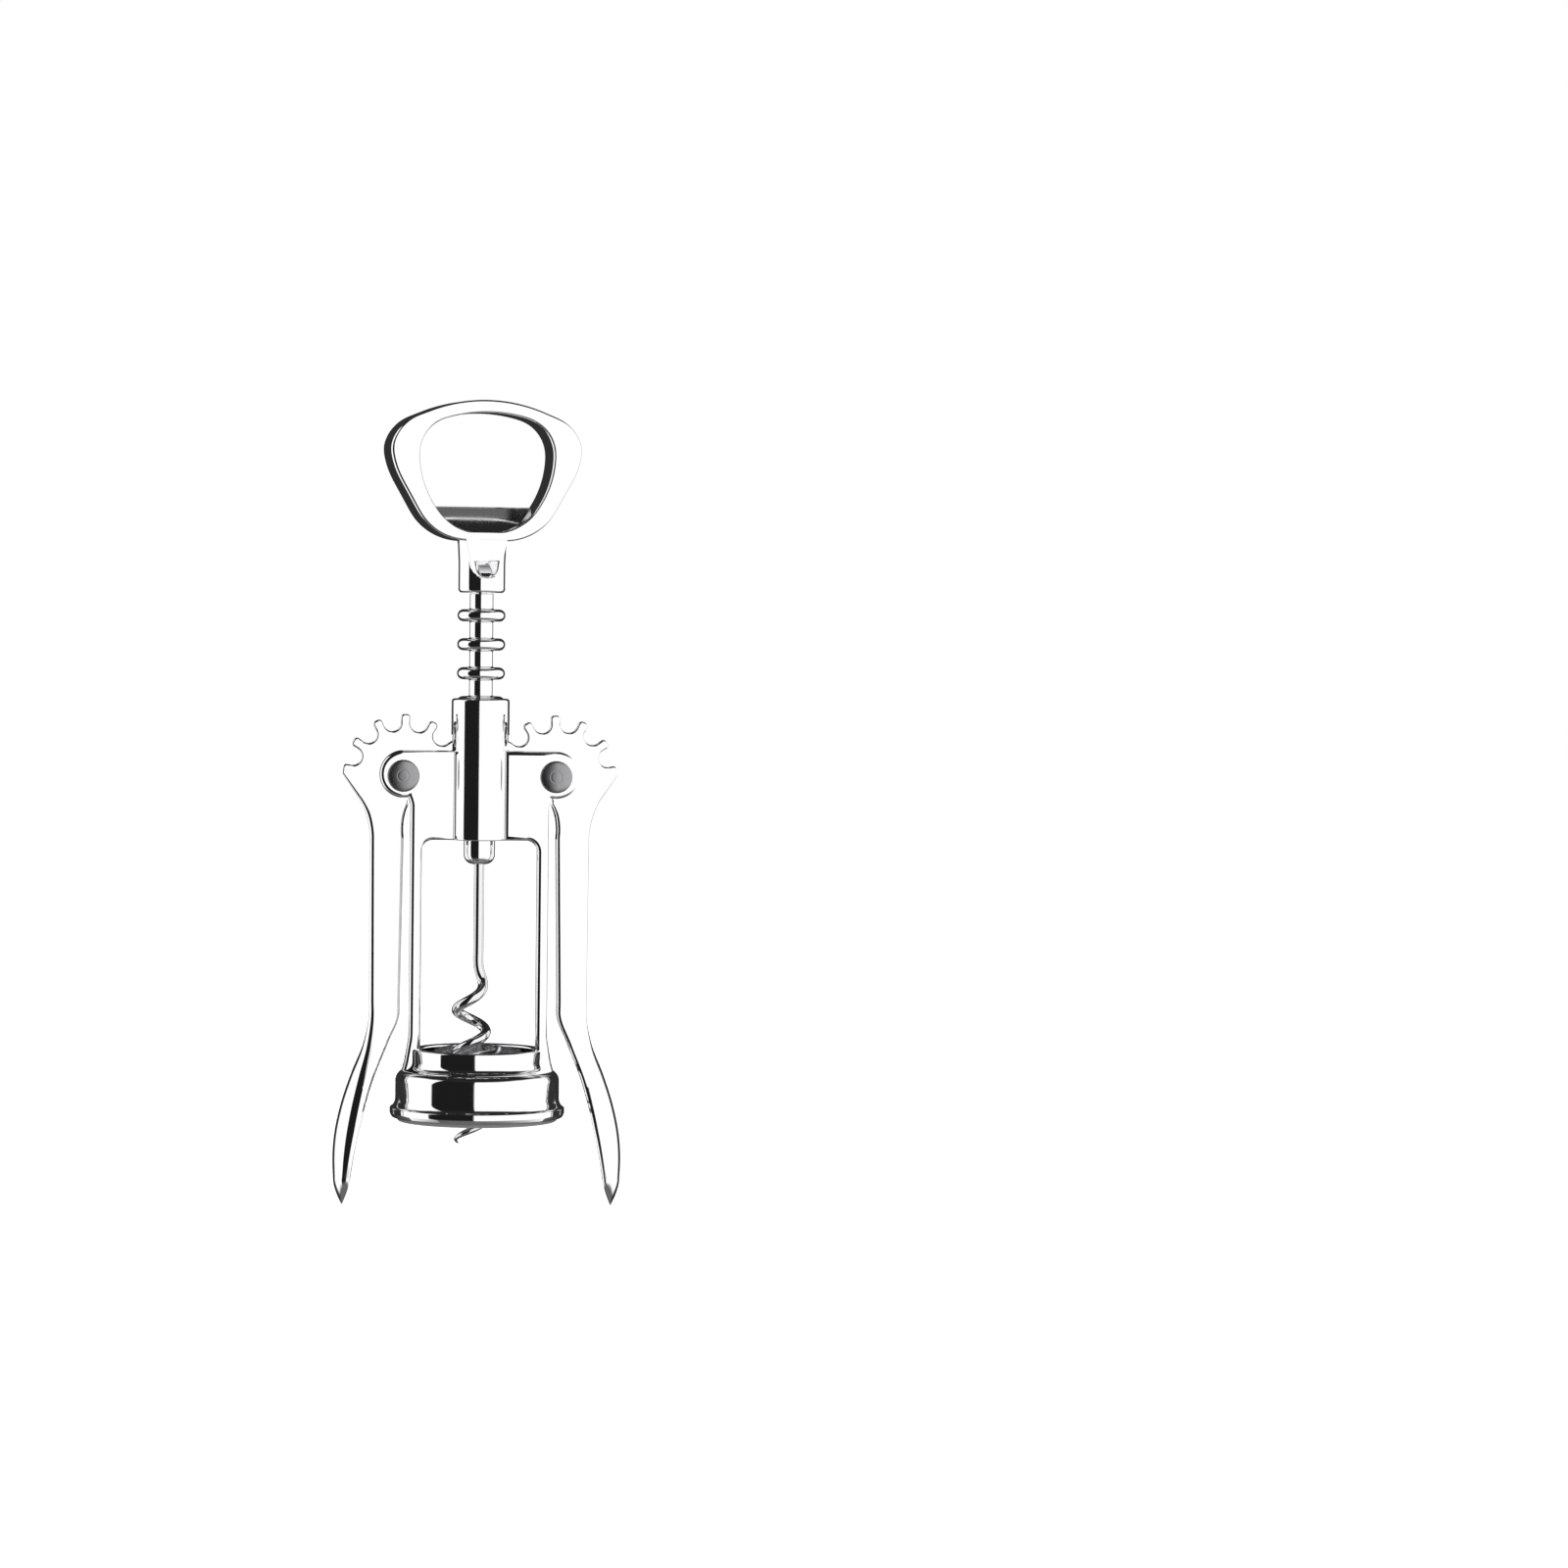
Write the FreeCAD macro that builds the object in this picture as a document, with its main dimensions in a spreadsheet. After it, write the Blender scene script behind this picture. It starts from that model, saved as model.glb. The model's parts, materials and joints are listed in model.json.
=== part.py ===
"""Lever corkscrew: a chromed frame casting with a bell, two geared levers on rivets, a ring rack
that slides in the barrel, and a ring handle that turns the worm through the rack.

Millimetres. Origin in the middle of the bell's mouth, +Z up, levers to -X and +X, front to -Y.
"""
import FreeCAD, Part
import math
import os
import re
import Sketcher
from FreeCAD import Placement, Rotation, Vector

# Driving sizes in millimetres and degrees
SIZES = {
    # bell: the middle of its shoulder is a height above the mouth
    "bell_radius": 18.85, "bell_shoulder": 10.6, "bell_neck_height": 5.1, "bell_step": 3.55,
    "bell_lip": 2.0, "bell_wall": 1.75, "bell_roof": 2.8, "bell_round": 2.6, "bell_flare": 0.75,
    "bell_flare_height": 1.9, "bead_height": 2.2, "bead_proud": 1.3, "shoulder_fillet": 2.0,
    "neck_edge": 0.5, "mouth_edge": 0.4,
    # plastic liner of the bell
    "liner_lip_inset": 0.45, "liner_wall": 1.2, "liner_gap": 0.1, "liner_flange": 1.4,
    "liner_hole_step": 0.3, "liner_lip_round": 0.5, "liner_drop": 0.9,
    # legs, fork and barrel
    "leg_inset": 2.1, "leg_width": 2.7, "leg_flare": 1.9, "leg_flare_height": 9.0, "leg_flare_curve": 16,
    "fork_plate": 1.65, "fork_below_pivot": 14.7, "fork_above_pivot": 5.9, "lobe_radius": 5.5,
    "lobe_corner": 1.8, "window_corner": 2.5, "barrel_above_pivot": 17.8, "barrel_wall": 0.9,
    "barrel_edge": 1.0, "barrel_bore_gap": 0.25, "barrel_bore_flare": 0.5,
    # pivots
    "pivot_height": 78.5, "pivot_beyond_leg": 4.3, "pivot_pin_radius": 2.0, "pivot_gap": 0.1,
    "rivet_head_radius": 3.7, "rivet_head_height": 1.0, "rivet_head_rim": 0.35,
    # lever plate and its gear sector
    "lever_thickness": 3.3, "lever_side_gap": 0.15, "gear_addendum": 0.7, "gear_dedendum": 3.0,
    "gear_ring_gap": 0.65, "gear_gap_flare": 11, "gear_phase": 3.3, "gear_tip_gap": 0.5, "hub_wall": 4.8,
    # lever bar and paddle; the lever's end is a height
    "bar_offset": 7.7, "bar_width": 7.8, "bar_drop": 14.0, "bar_taper": 0.6, "bar_outer_curve": 19.4,
    "bar_inner_curve": 14.0, "bar_flare_out": 2.2, "bar_flare_up": 8.1, "lever_end": -21.0,
    "paddle_length": 45.6, "paddle_sweep": 7.8, "paddle_half_width": 6.6, "paddle_rim": 1.5,
    "paddle_bulge": 3.2, "paddle_dish": 0.9,
    # rack
    "rack_core_radius": 2.7, "ring_radius": 5.5, "ring_thickness": 2.8, "rack_pitch": 6.65,
    "ring_count": 8, "rings_above_pivot": 6, "rack_phase": -0.325, "rack_neck": 5.0, "rack_foot": 2.85,
    # rod, worm and ferrule; the worm's tip is a height
    "rod_radius": 1.2, "rod_gap": 0.2, "rod_depth": 10.4, "worm_tip": -6.4, "worm_length": 45.4,
    "worm_pitch": 10.0, "worm_radius": 3.35, "worm_offset": 1.5, "worm_point": 9.0,
    "worm_point_radius": 0.2, "worm_run_out": 14.4, "ferrule_radius": 3.6, "ferrule_length": 7.8,
    "ferrule_round": 2.2, "ferrule_edge": 0.3, "ferrule_gap": 0.15,
    # handle: collar, loop and web
    "handle_turn": 13.0, "handle_thickness": 9.7, "handle_gap": 0.2, "collar_proud": 0.5,
    "collar_edge": 0.7, "collar_height": 11.8, "loop_height": 32.3, "loop_half_width": 22.5,
    "loop_waist_height": 21.2, "loop_side": 6.8, "loop_crown": 3.0, "loop_floor": 2.0,
    "web_height": 7.9, "web_inset": 0.6, "web_lip": 1.3,
    # handle: tongue, scoop and cross pin
    "tongue_half_width": 4.95, "tongue_length": 8.5, "tongue_round": 3.5, "tongue_shoulder_half": 3.7,
    "scoop_half_width": 2.75, "scoop_height": 4.0, "scoop_straight": 1.3, "scoop_depth": 1.2,
    "cross_pin_radius": 0.6, "cross_pin_lift": 2.8, "cross_pin_sink": 0.2,
}

# Radii, distances from the axis and heights that follow from the driving sizes
PLACES = {
    # frame
    "bell_neck_radius": "bell_radius - bell_step",
    "bell_mouth_radius": "bell_neck_radius - bell_lip",
    "bell_top": "bell_shoulder + bell_neck_height",
    "shoulder_sum": "shoulder_fillet + bell_round",
    "shoulder_drop": "sqrt(shoulder_sum^2 - (shoulder_sum - bell_step)^2)",
    "shoulder_top": "bell_shoulder + shoulder_drop/2",
    "leg_inside": "bell_neck_radius - leg_inset",
    "leg_outside": "leg_inside + leg_width",
    "pivot_out": "leg_inside + pivot_beyond_leg",
    "slot_width": "lever_thickness + 2*lever_side_gap",
    "fork_depth": "slot_width + 2*fork_plate",
    "fork_bottom": "pivot_height - fork_below_pivot",
    "fork_top": "pivot_height + fork_above_pivot",
    "lobe_bottom": "fork_top - 2*lobe_radius",
    "barrel_bore": "ring_radius + barrel_bore_gap",
    "barrel_radius": "barrel_bore + barrel_wall",
    "barrel_top": "pivot_height + barrel_above_pivot",
    "liner_hole_radius": "bell_mouth_radius + liner_hole_step",
    "liner_lip_radius": "bell_radius - liner_lip_inset",
    # levers, whose teeth mesh with the rack's rings
    "gear_pitch_radius": "pivot_out - (ring_radius - ring_thickness/2)",
    "gear_tip_radius": "gear_pitch_radius + gear_addendum",
    "gear_root_radius": "gear_pitch_radius - gear_dedendum",
    "gear_gap_radius": "ring_thickness/2 + gear_ring_gap",
    "tooth_step": "180/pi*rack_pitch/gear_pitch_radius",
    "bar_outer": "pivot_out + bar_offset",
    "bar_inner": "bar_outer - bar_width",
    "bar_top": "pivot_height - bar_drop",
    "bar_end": "lever_end + paddle_length",
    "paddle_outer": "bar_outer + paddle_sweep",
    # rack, worm and handle, stacked up from the pivots
    "top_ring_height": "pivot_height + (rings_above_pivot - 0.5)*rack_pitch - rack_phase",
    "rack_top": "top_ring_height + rack_neck",
    "rack_end": "top_ring_height - (ring_count - 1)*rack_pitch - rack_foot",
    "ferrule_top": "rack_end - ferrule_gap",
    "ferrule_end": "rack_end - ferrule_length",
    "worm_start": "worm_tip + worm_length",
    "collar_radius": "handle_thickness/2 + collar_proud",
    "collar_bottom": "rack_top + handle_gap",
    "rod_top": "collar_bottom + rod_depth",
    "loop_bottom": "collar_bottom + collar_height",
    "loop_top": "loop_bottom + loop_height",
    "loop_waist": "loop_bottom + loop_waist_height",
    "web_top": "loop_bottom + web_height",
    "tongue_end": "loop_bottom - tongue_length",
    "tongue_shoulder": "tongue_end + tongue_round",
    "scoop_top": "tongue_end + scoop_height",
    "cross_pin_height": "collar_bottom + cross_pin_lift",
}

doc = FreeCAD.newDocument("LeverCorkscrew")
sheet = doc.addObject("Spreadsheet::Sheet", "Sizes")
for row, (alias, number) in enumerate(SIZES.items(), 1):
    sheet.set(f"A{row}", alias)
    sheet.set(f"B{row}", str(number))
    sheet.setAlias(f"B{row}", alias)
doc.recompute()


def expanded(formula):
    """A formula with every name of PLACES replaced by its own formula, down to driving sizes."""
    names = "|".join(sorted(PLACES, key=len, reverse=True))
    while re.search(rf"\b({names})\b", str(formula)):
        formula = re.sub(rf"\b({names})\b", lambda found: f"({PLACES[found[1]]})", formula)
    return str(formula)


def value(formula):
    """The number that a formula gives now."""
    return float(sheet.evalExpression(expanded(formula)))


def linked(formula):
    """The same formula as other objects of the document have to write it."""
    names = "|".join(sorted(SIZES, key=len, reverse=True))
    return re.sub(rf"\b({names})\b", r"Sizes.\1", expanded(formula))


def bind(thing, **formulas):
    """Tie properties of a feature to sheet formulas."""
    for name, formula in formulas.items():
        thing.setExpression(name.replace("__", "."), linked(formula))


def body_named(label):
    body = doc.addObject("PartDesign::Body", label)
    body.Label = label
    return body


def sketch_on(body, name, plane, height=None):
    """A sketch on one of the body's own origin planes, lifted off it by an optional formula."""
    sketch = body.newObject("Sketcher::SketchObject", name)
    plane_object = next(item for item in body.Origin.OriginFeatures if item.Role == plane)
    sketch.AttachmentSupport = (plane_object, "")
    sketch.MapMode = "FlatFace"
    if height is not None:
        sketch.setExpression("AttachmentOffset.Base.z", linked(height))
    return sketch


def tie(sketch, kind, *places, formula):
    """One dimension of a sketch, bound to a formula."""
    index = sketch.addConstraint(Sketcher.Constraint(kind, *places, value(formula)))
    sketch.setExpression(f"Constraints[{index}]", linked(formula))


def outline(sketch, corners):
    """A closed outline. Each corner is (x, y) or (x, y, radius, turn): with a radius, the edge that
    leaves the corner is an arc, centred to the left (turn 1) or to the right (turn -1) of it."""
    points = [Vector(value(corner[0]), value(corner[1]), 0) for corner in corners]
    ends = []
    for number, corner in enumerate(corners):
        start, finish = points[number], points[(number + 1) % len(points)]
        if len(corner) == 2:
            index = sketch.addGeometry(Part.LineSegment(start, finish))
            ends.append((index, 1, 2))
            continue
        radius, turn = value(corner[2]), corner[3]
        run = finish - start
        left = Vector(-run.y, run.x, 0).normalize()
        centre = (start + finish) * 0.5 + left * turn * math.sqrt(max(0, radius**2 - run.Length**2 / 4))
        angles = [math.atan2(p.y - centre.y, p.x - centre.x) for p in (start, finish)][::turn]
        index = sketch.addGeometry(Part.ArcOfCircle(Part.Circle(centre, Vector(0, 0, 1), radius), *angles))
        ends.append((index, 1, 2) if turn == 1 else (index, 2, 1))
        tie(sketch, "Radius", index, formula=corner[2])
    for number, corner in enumerate(corners):
        index, start, _ = ends[number]
        before, _, finish = ends[number - 1]
        sketch.addConstraint(Sketcher.Constraint("Coincident", before, finish, index, start))
        tie(sketch, "DistanceX", -1, 1, index, start, formula=corner[0])
        tie(sketch, "DistanceY", -1, 1, index, start, formula=corner[1])


def bowed(corners, turn=-1):
    """Corners of which some are (x, y, bow): the arc that leaves such a corner rises by the bow off
    its chord, so its radius is chord squared over eight bows plus half the bow."""
    made = []
    for number, corner in enumerate(corners):
        if len(corner) == 3:
            following, bow = corners[(number + 1) % len(corners)], corner[2]
            chord = f"(({following[0]} - ({corner[0]}))^2 + ({following[1]} - ({corner[1]}))^2)"
            corner = (*corner[:2], f"{chord}/(8*{bow}) + {bow}/2", turn)
        made.append(corner)
    return made


def circle(sketch, across, up, radius):
    centre = Vector(value(across), value(up), 0)
    index = sketch.addGeometry(Part.Circle(centre, Vector(0, 0, 1), value(radius)))
    tie(sketch, "DistanceX", -1, 1, index, 3, formula=across)
    tie(sketch, "DistanceY", -1, 1, index, 3, formula=up)
    tie(sketch, "Radius", index, formula=radius)


def feature(body, kind, name, sketch, **settings):
    """A feature of a body made from a sketch; text settings are bound, others are just set."""
    made = body.newObject("PartDesign::" + kind, name)
    made.Profile = sketch
    for key, setting in settings.items():
        if isinstance(setting, str) and key in ("Length", "Angle"):
            made.setExpression(key, linked(setting))
        else:
            setattr(made, key, setting)
    return made


def turned(body, name, corners, kind="Revolution"):
    """A full turn of a closed profile (radius, height) about the body's Z axis."""
    sketch = sketch_on(body, name + "_profile", "XZ_Plane")
    outline(sketch, corners)
    return feature(body, kind, name, sketch, ReferenceAxis=(sketch, ["V_Axis"]), Angle=360.0)


def slab(body, name, plane, thickness, corners=(), hole=(), circles=(), kind="Pad"):
    """A pad or pocket of an outline, half its thickness to each side of the plane."""
    sketch = sketch_on(body, name + "_outline", plane)
    for loop in (corners, hole):
        if loop:
            outline(sketch, loop)
    for centre_x, centre_y, radius in circles:
        circle(sketch, centre_x, centre_y, radius)
    return feature(body, kind, name, sketch, SideType="Symmetric", Length=thickness)


def mirrored(half, last=None):
    """The other half, in reverse order, of an outline that crosses X = 0 with its first and last
    edges. Arcs keep their shape, and last is the bow of the edge that closes the outline."""
    other = []
    for number in range(len(half) - 1, -1, -1):
        shape = half[number - 1][2:] if number else (() if last is None else (last,))
        other.append((f"-({half[number][0]})", half[number][1], *shape))
    return other


# ---- frame casting: bell, legs, fork and barrel in one piece

def make_frame():
    body = body_named("frame_casting")
    bead = "bell_radius + bead_proud"
    turned(body, "bell", [
        ("bell_radius - bell_wall", "0"),
        (f"{bead} - 0.3", "0", "bead_height*0.75", 1),
        (f"{bead} - 0.3", "bead_height"),
        ("bell_radius + bell_flare", "bead_height + 0.4",
         "(bell_flare^2 + bell_flare_height^2)/(2*bell_flare)", -1),
        ("bell_radius", "bead_height + 0.4 + bell_flare_height"),
        # a round and a fillet that run into each other between the body and the neck
        ("bell_radius", "shoulder_top - shoulder_drop", "bell_round", 1),
        ("bell_neck_radius + bell_step*shoulder_fillet/shoulder_sum",
         "shoulder_top - shoulder_drop*shoulder_fillet/shoulder_sum", "shoulder_fillet", -1),
        ("bell_neck_radius", "shoulder_top"),
        ("bell_neck_radius", "bell_top - neck_edge", "neck_edge", 1),
        ("bell_neck_radius - neck_edge", "bell_top"),
        ("bell_mouth_radius + mouth_edge", "bell_top", "mouth_edge", 1),
        ("bell_mouth_radius", "bell_top - mouth_edge"),
        ("bell_mouth_radius", "bell_shoulder - bell_roof"),
        ("bell_radius - bell_wall", "bell_shoulder - bell_roof"),
    ])
    # legs and fork plates as one slab around the window, drawn down its left half and up its right
    foot, flare_top = "bell_shoulder - bell_roof + 0.3", "bell_top + leg_flare_height*0.25"
    left = [
        ("-pivot_out", "fork_top", "lobe_radius", 1),
        ("-pivot_out - lobe_radius", "fork_top - lobe_radius", "lobe_radius", 1),
        ("-pivot_out", "lobe_bottom"),
        ("-leg_outside + 0.3", "lobe_bottom - lobe_corner/3", "lobe_corner", -1),
        ("-leg_outside", "lobe_bottom - lobe_corner*1.2"),
        ("-leg_outside", flare_top, "leg_flare_curve", 1),
        ("-leg_outside - leg_flare", "bell_shoulder - 0.6"),
        ("-leg_outside - leg_flare", foot),
        ("-leg_inside - 0.4", foot),
        ("-leg_inside", "bell_top"),
        ("-leg_inside", "fork_bottom - window_corner", "window_corner", -1),
        ("-leg_inside + window_corner", "fork_bottom"),
    ]
    slab(body, "fork_and_legs", "XZ_Plane", "fork_depth", left + mirrored(left))
    turned(body, "barrel", [
        ("0", "fork_bottom"),
        ("barrel_radius", "fork_bottom"),
        ("barrel_radius", "barrel_top - barrel_edge", "barrel_edge", 1),
        ("barrel_radius - barrel_edge", "barrel_top"),
        ("0", "barrel_top"),
    ])
    turned(body, "bore", [
        ("0", "fork_bottom - 1"),
        ("barrel_bore", "fork_bottom - 1"),
        ("barrel_bore", "barrel_top - barrel_bore_flare"),
        ("barrel_bore + barrel_bore_flare", "barrel_top"),
        ("barrel_bore + barrel_bore_flare", "barrel_top + 1"),
        ("0", "barrel_top + 1"),
    ], kind="Groove")
    # slots for the levers' gear sectors, clear of the teeth all round each pivot
    clear = "gear_tip_radius + gear_tip_gap"
    for side, sign in (("left", "-"), ("right", "")):
        slab(body, f"{side}_gear_slot", "XZ_Plane", "slot_width", kind="Pocket",
             circles=[(f"{sign}pivot_out", "pivot_height", clear)])
        slab(body, f"{side}_pivot_hole", "XZ_Plane", "fork_depth + 2", kind="Pocket",
             circles=[(f"{sign}pivot_out", "pivot_height", "pivot_pin_radius")])
    return body


# ---- plastic sleeve in the bell

def make_liner():
    body = body_named("bell_liner")
    outside = "bell_radius - bell_wall - liner_gap"
    inside = f"{outside} - liner_wall"
    roof = "bell_shoulder - bell_roof - liner_gap"
    turned(body, "sleeve", [
        (inside, "liner_lip_round - liner_drop", "liner_lip_round", 1),
        (f"{inside} + liner_lip_round", "-liner_drop"),
        ("liner_lip_radius - liner_lip_round", "-liner_drop", "liner_lip_round", 1),
        ("liner_lip_radius", "liner_lip_round - liner_drop"),
        ("liner_lip_radius", "0"),
        (outside, "0"),
        (outside, roof),
        ("liner_hole_radius", roof),
        ("liner_hole_radius", f"{roof} - liner_flange"),
        (inside, f"{roof} - liner_flange"),
    ])
    return body


# ---- rivet with a low dome at each end, along Y

def make_rivet(label, sign):
    body = body_named(label)
    half = "fork_depth/2"
    rim = f"{half} + rivet_head_rim"
    rise = "(rivet_head_height - rivet_head_rim)"
    dome = f"(rivet_head_radius^2 + {rise}^2)/(2*{rise})"
    sketch = sketch_on(body, "half_section", "XZ_Plane")
    outline(sketch, [
        ("0", f"-{half} - rivet_head_height", dome, 1),
        ("rivet_head_radius", f"-({rim})"),
        ("rivet_head_radius", f"-{half}"),
        ("pivot_pin_radius", f"-{half}"),
        ("pivot_pin_radius", half),
        ("rivet_head_radius", half),
        ("rivet_head_radius", rim, dome, 1),
        ("0", f"{half} + rivet_head_height"),
    ])
    feature(body, "Revolution", "rivet", sketch, ReferenceAxis=(sketch, ["V_Axis"]), Angle=360.0)
    body.Placement.Rotation = Rotation(Vector(1, 0, 0), 90)
    bind(body, Placement__Base__x=f"{sign}pivot_out", Placement__Base__z="pivot_height")
    return body


# ---- lever: gear sector, flat bar and spoon paddle, drawn round its pivot

TOOTH_COUNT = 8


def for_side(side, corners):
    """An outline of the right-hand piece (side 1), or its mirror image in X (side -1)."""
    if side == 1:
        return corners
    return [(f"-({corner[0]})", *corner[1:3], *[-turn for turn in corner[3:]]) for corner in corners]


def on_circle(radius, angle):
    return (f"({radius})*cos(({angle}) * 1 deg)", f"({radius})*sin(({angle}) * 1 deg)")


def make_lever(label, side):
    body = body_named(label)
    half_tooth = f"(tooth_step/2 - asin(gear_gap_radius/(gear_root_radius + gear_gap_radius))/1 deg)"
    last = f"180 - gear_phase - {TOOTH_COUNT - 2}*tooth_step - {half_tooth}"
    first = f"180 - gear_phase + tooth_step + {half_tooth}"
    outer, inner, down = "(bar_outer - pivot_out)", "(bar_inner - pivot_out)", "(bar_top - pivot_height)"
    end = "(bar_end - pivot_height)"
    slab(body, "gear_and_bar", "XZ_Plane", "lever_thickness", for_side(side, [
        (*on_circle("gear_tip_radius", last), "gear_tip_radius", 1),
        (*on_circle("gear_tip_radius", f"({last})*2/3 + ({first})/3"), "gear_tip_radius", 1),
        (*on_circle("gear_tip_radius", f"({last})/3 + ({first})*2/3"), "gear_tip_radius", 1),
        on_circle("gear_tip_radius", first),
        on_circle("gear_root_radius", first),
        ("-hub_wall*0.45", "-hub_wall", "bar_inner_curve", -1),
        (inner, down),
        (f"{inner} + bar_taper", end),
        (f"{outer} - bar_taper/3", end),
        (outer, down, "bar_outer_curve", -1),
        (f"{outer} + bar_flare_out", f"{down} + bar_flare_up"),
    ]))
    slab(body, "pivot_hole", "XZ_Plane", "lever_thickness + 1", kind="Pocket",
         circles=[("0", "0", "pivot_pin_radius + pivot_gap")])
    # one U-shaped gap between two teeth, then the others round the pivot
    sketch = sketch_on(body, "tooth_gap_outline", "XZ_Plane")
    gap_angle = f"180 - gear_phase - {TOOTH_COUNT - 2.5}*tooth_step" if side == 1 else \
        f"gear_phase - tooth_step/2"
    sketch.setExpression("AttachmentOffset.Rotation.Angle", linked(gap_angle))
    centre, flare = "(gear_root_radius + gear_gap_radius)", "(gear_gap_flare * 1 deg)"
    near, low = f"{centre} - gear_gap_radius*sin{flare}", f"gear_gap_radius*cos{flare}"
    far = "gear_tip_radius + 1"
    high = f"{low} + ({far} - ({near}))*tan{flare}"
    outline(sketch, [
        (near, low, "gear_gap_radius", 1),
        ("gear_root_radius", "0", "gear_gap_radius", 1),
        (near, f"-({low})"),
        (far, f"-({high})"),
        (far, high),
    ])
    gap = feature(body, "Pocket", "tooth_gap", sketch, SideType="Symmetric", Length="lever_thickness + 1")
    teeth = body.newObject("PartDesign::PolarPattern", "tooth_gaps")
    teeth.Originals = [gap]
    teeth.Axis = (sketch, ["N_Axis"])
    teeth.Occurrences = TOOTH_COUNT - 1
    teeth.setExpression("Angle", linked(f"{TOOTH_COUNT - 2}*tooth_step"))
    body.Tip = teeth
    add_paddle(body, side)
    bind(body, Placement__Base__x=f"{side}*pivot_out", Placement__Base__z="pivot_height")
    return body


def add_paddle(body, side):
    """The spoon below the bar: a loft through D-shaped sections, each a rim of even thickness
    with a bulging outer face and a dished inner face."""
    drop = "(bar_end - lever_end)"
    out, half = "(bar_outer - bar_taper/3)", "(lever_thickness/2)"
    thick = "(bar_outer - bar_inner - bar_taper*4/3)"
    # share of the way down, share of the way out, and shares of width, bulge and thickness
    stations = [
        (0.00, 0.00, 0.00, 0.02, 1.00), (0.17, 0.16, 0.28, 0.22, 0.56), (0.32, 0.50, 0.66, 0.62, 0.28),
        (0.48, 0.80, 0.92, 0.92, 0.12), (0.64, 0.985, 1.00, 1.00, 0.04), (0.80, 1.02, 0.84, 0.80, 0.01),
        (0.92, 0.94, 0.42, 0.46, 0.00), (0.99, 0.80, -0.10, 0.10, -0.05),
    ]
    sections = []
    for number, (down, outward, wide, bulging, bulk) in enumerate(stations):
        height = f"bar_end - pivot_height - {down}*{drop}"
        sketch = sketch_on(body, f"paddle_section_{number}", "XY_Plane", height)
        outer = f"({out} - pivot_out + {outward}*(paddle_outer - {out}))"
        width = f"({half} + {wide}*(paddle_half_width - {half}))"
        bulge = f"({bulging}*paddle_bulge)"
        rim = f"(paddle_rim + {bulk}*({thick} - paddle_rim - 0.02*paddle_bulge))"
        dish = f"({bulging}*(1 - {max(bulk, 0)})*paddle_dish + 0.02)"
        edge = f"({outer} - {bulge})"
        outline(sketch, for_side(side, [
            (f"{edge} - {rim}", f"-{width}"),
            (edge, f"-{width}", f"({width}^2 + {bulge}^2)/(2*{bulge})", 1),
            (edge, width),
            (f"{edge} - {rim}", width, f"({width}^2 + {dish}^2)/(2*{dish})", -1),
        ]))
        sections.append(sketch)
    feature(body, "AdditiveLoft", "paddle", sections[0], Sections=sections[1:])


# ---- rack sleeve: a tube with round-edged rings

def make_rack():
    body = body_named("rack_sleeve")
    edge = "(ring_thickness/2)"
    corners = [("rod_radius + rod_gap", "rack_end"), ("rack_core_radius", "rack_end")]
    for number in reversed(range(int(value("ring_count")))):
        middle = f"(top_ring_height - {number}*rack_pitch)"
        corners += [
            ("rack_core_radius", f"{middle} - {edge}"),
            (f"ring_radius - {edge}", f"{middle} - {edge}", edge, 1),
            ("ring_radius", middle, edge, 1),
            (f"ring_radius - {edge}", f"{middle} + {edge}"),
            ("rack_core_radius", f"{middle} + {edge}"),
        ]
    corners += [("rack_core_radius", "rack_top"), ("rod_radius + rod_gap", "rack_top")]
    turned(body, "sleeve", corners)
    return body


def make_ferrule():
    body = body_named("ferrule")
    turned(body, "bullet", [
        ("rod_radius", "ferrule_end"),
        ("ferrule_radius - ferrule_round", "ferrule_end", "ferrule_round", 1),
        ("ferrule_radius", "ferrule_end + ferrule_round"),
        ("ferrule_radius", "ferrule_top - ferrule_edge"),
        ("ferrule_radius - ferrule_edge", "ferrule_top"),
        ("rod_radius", "ferrule_top"),
    ])
    return body


# ---- worm: straight rod, half a turn of run-out, then an even helix to a ground point

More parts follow.
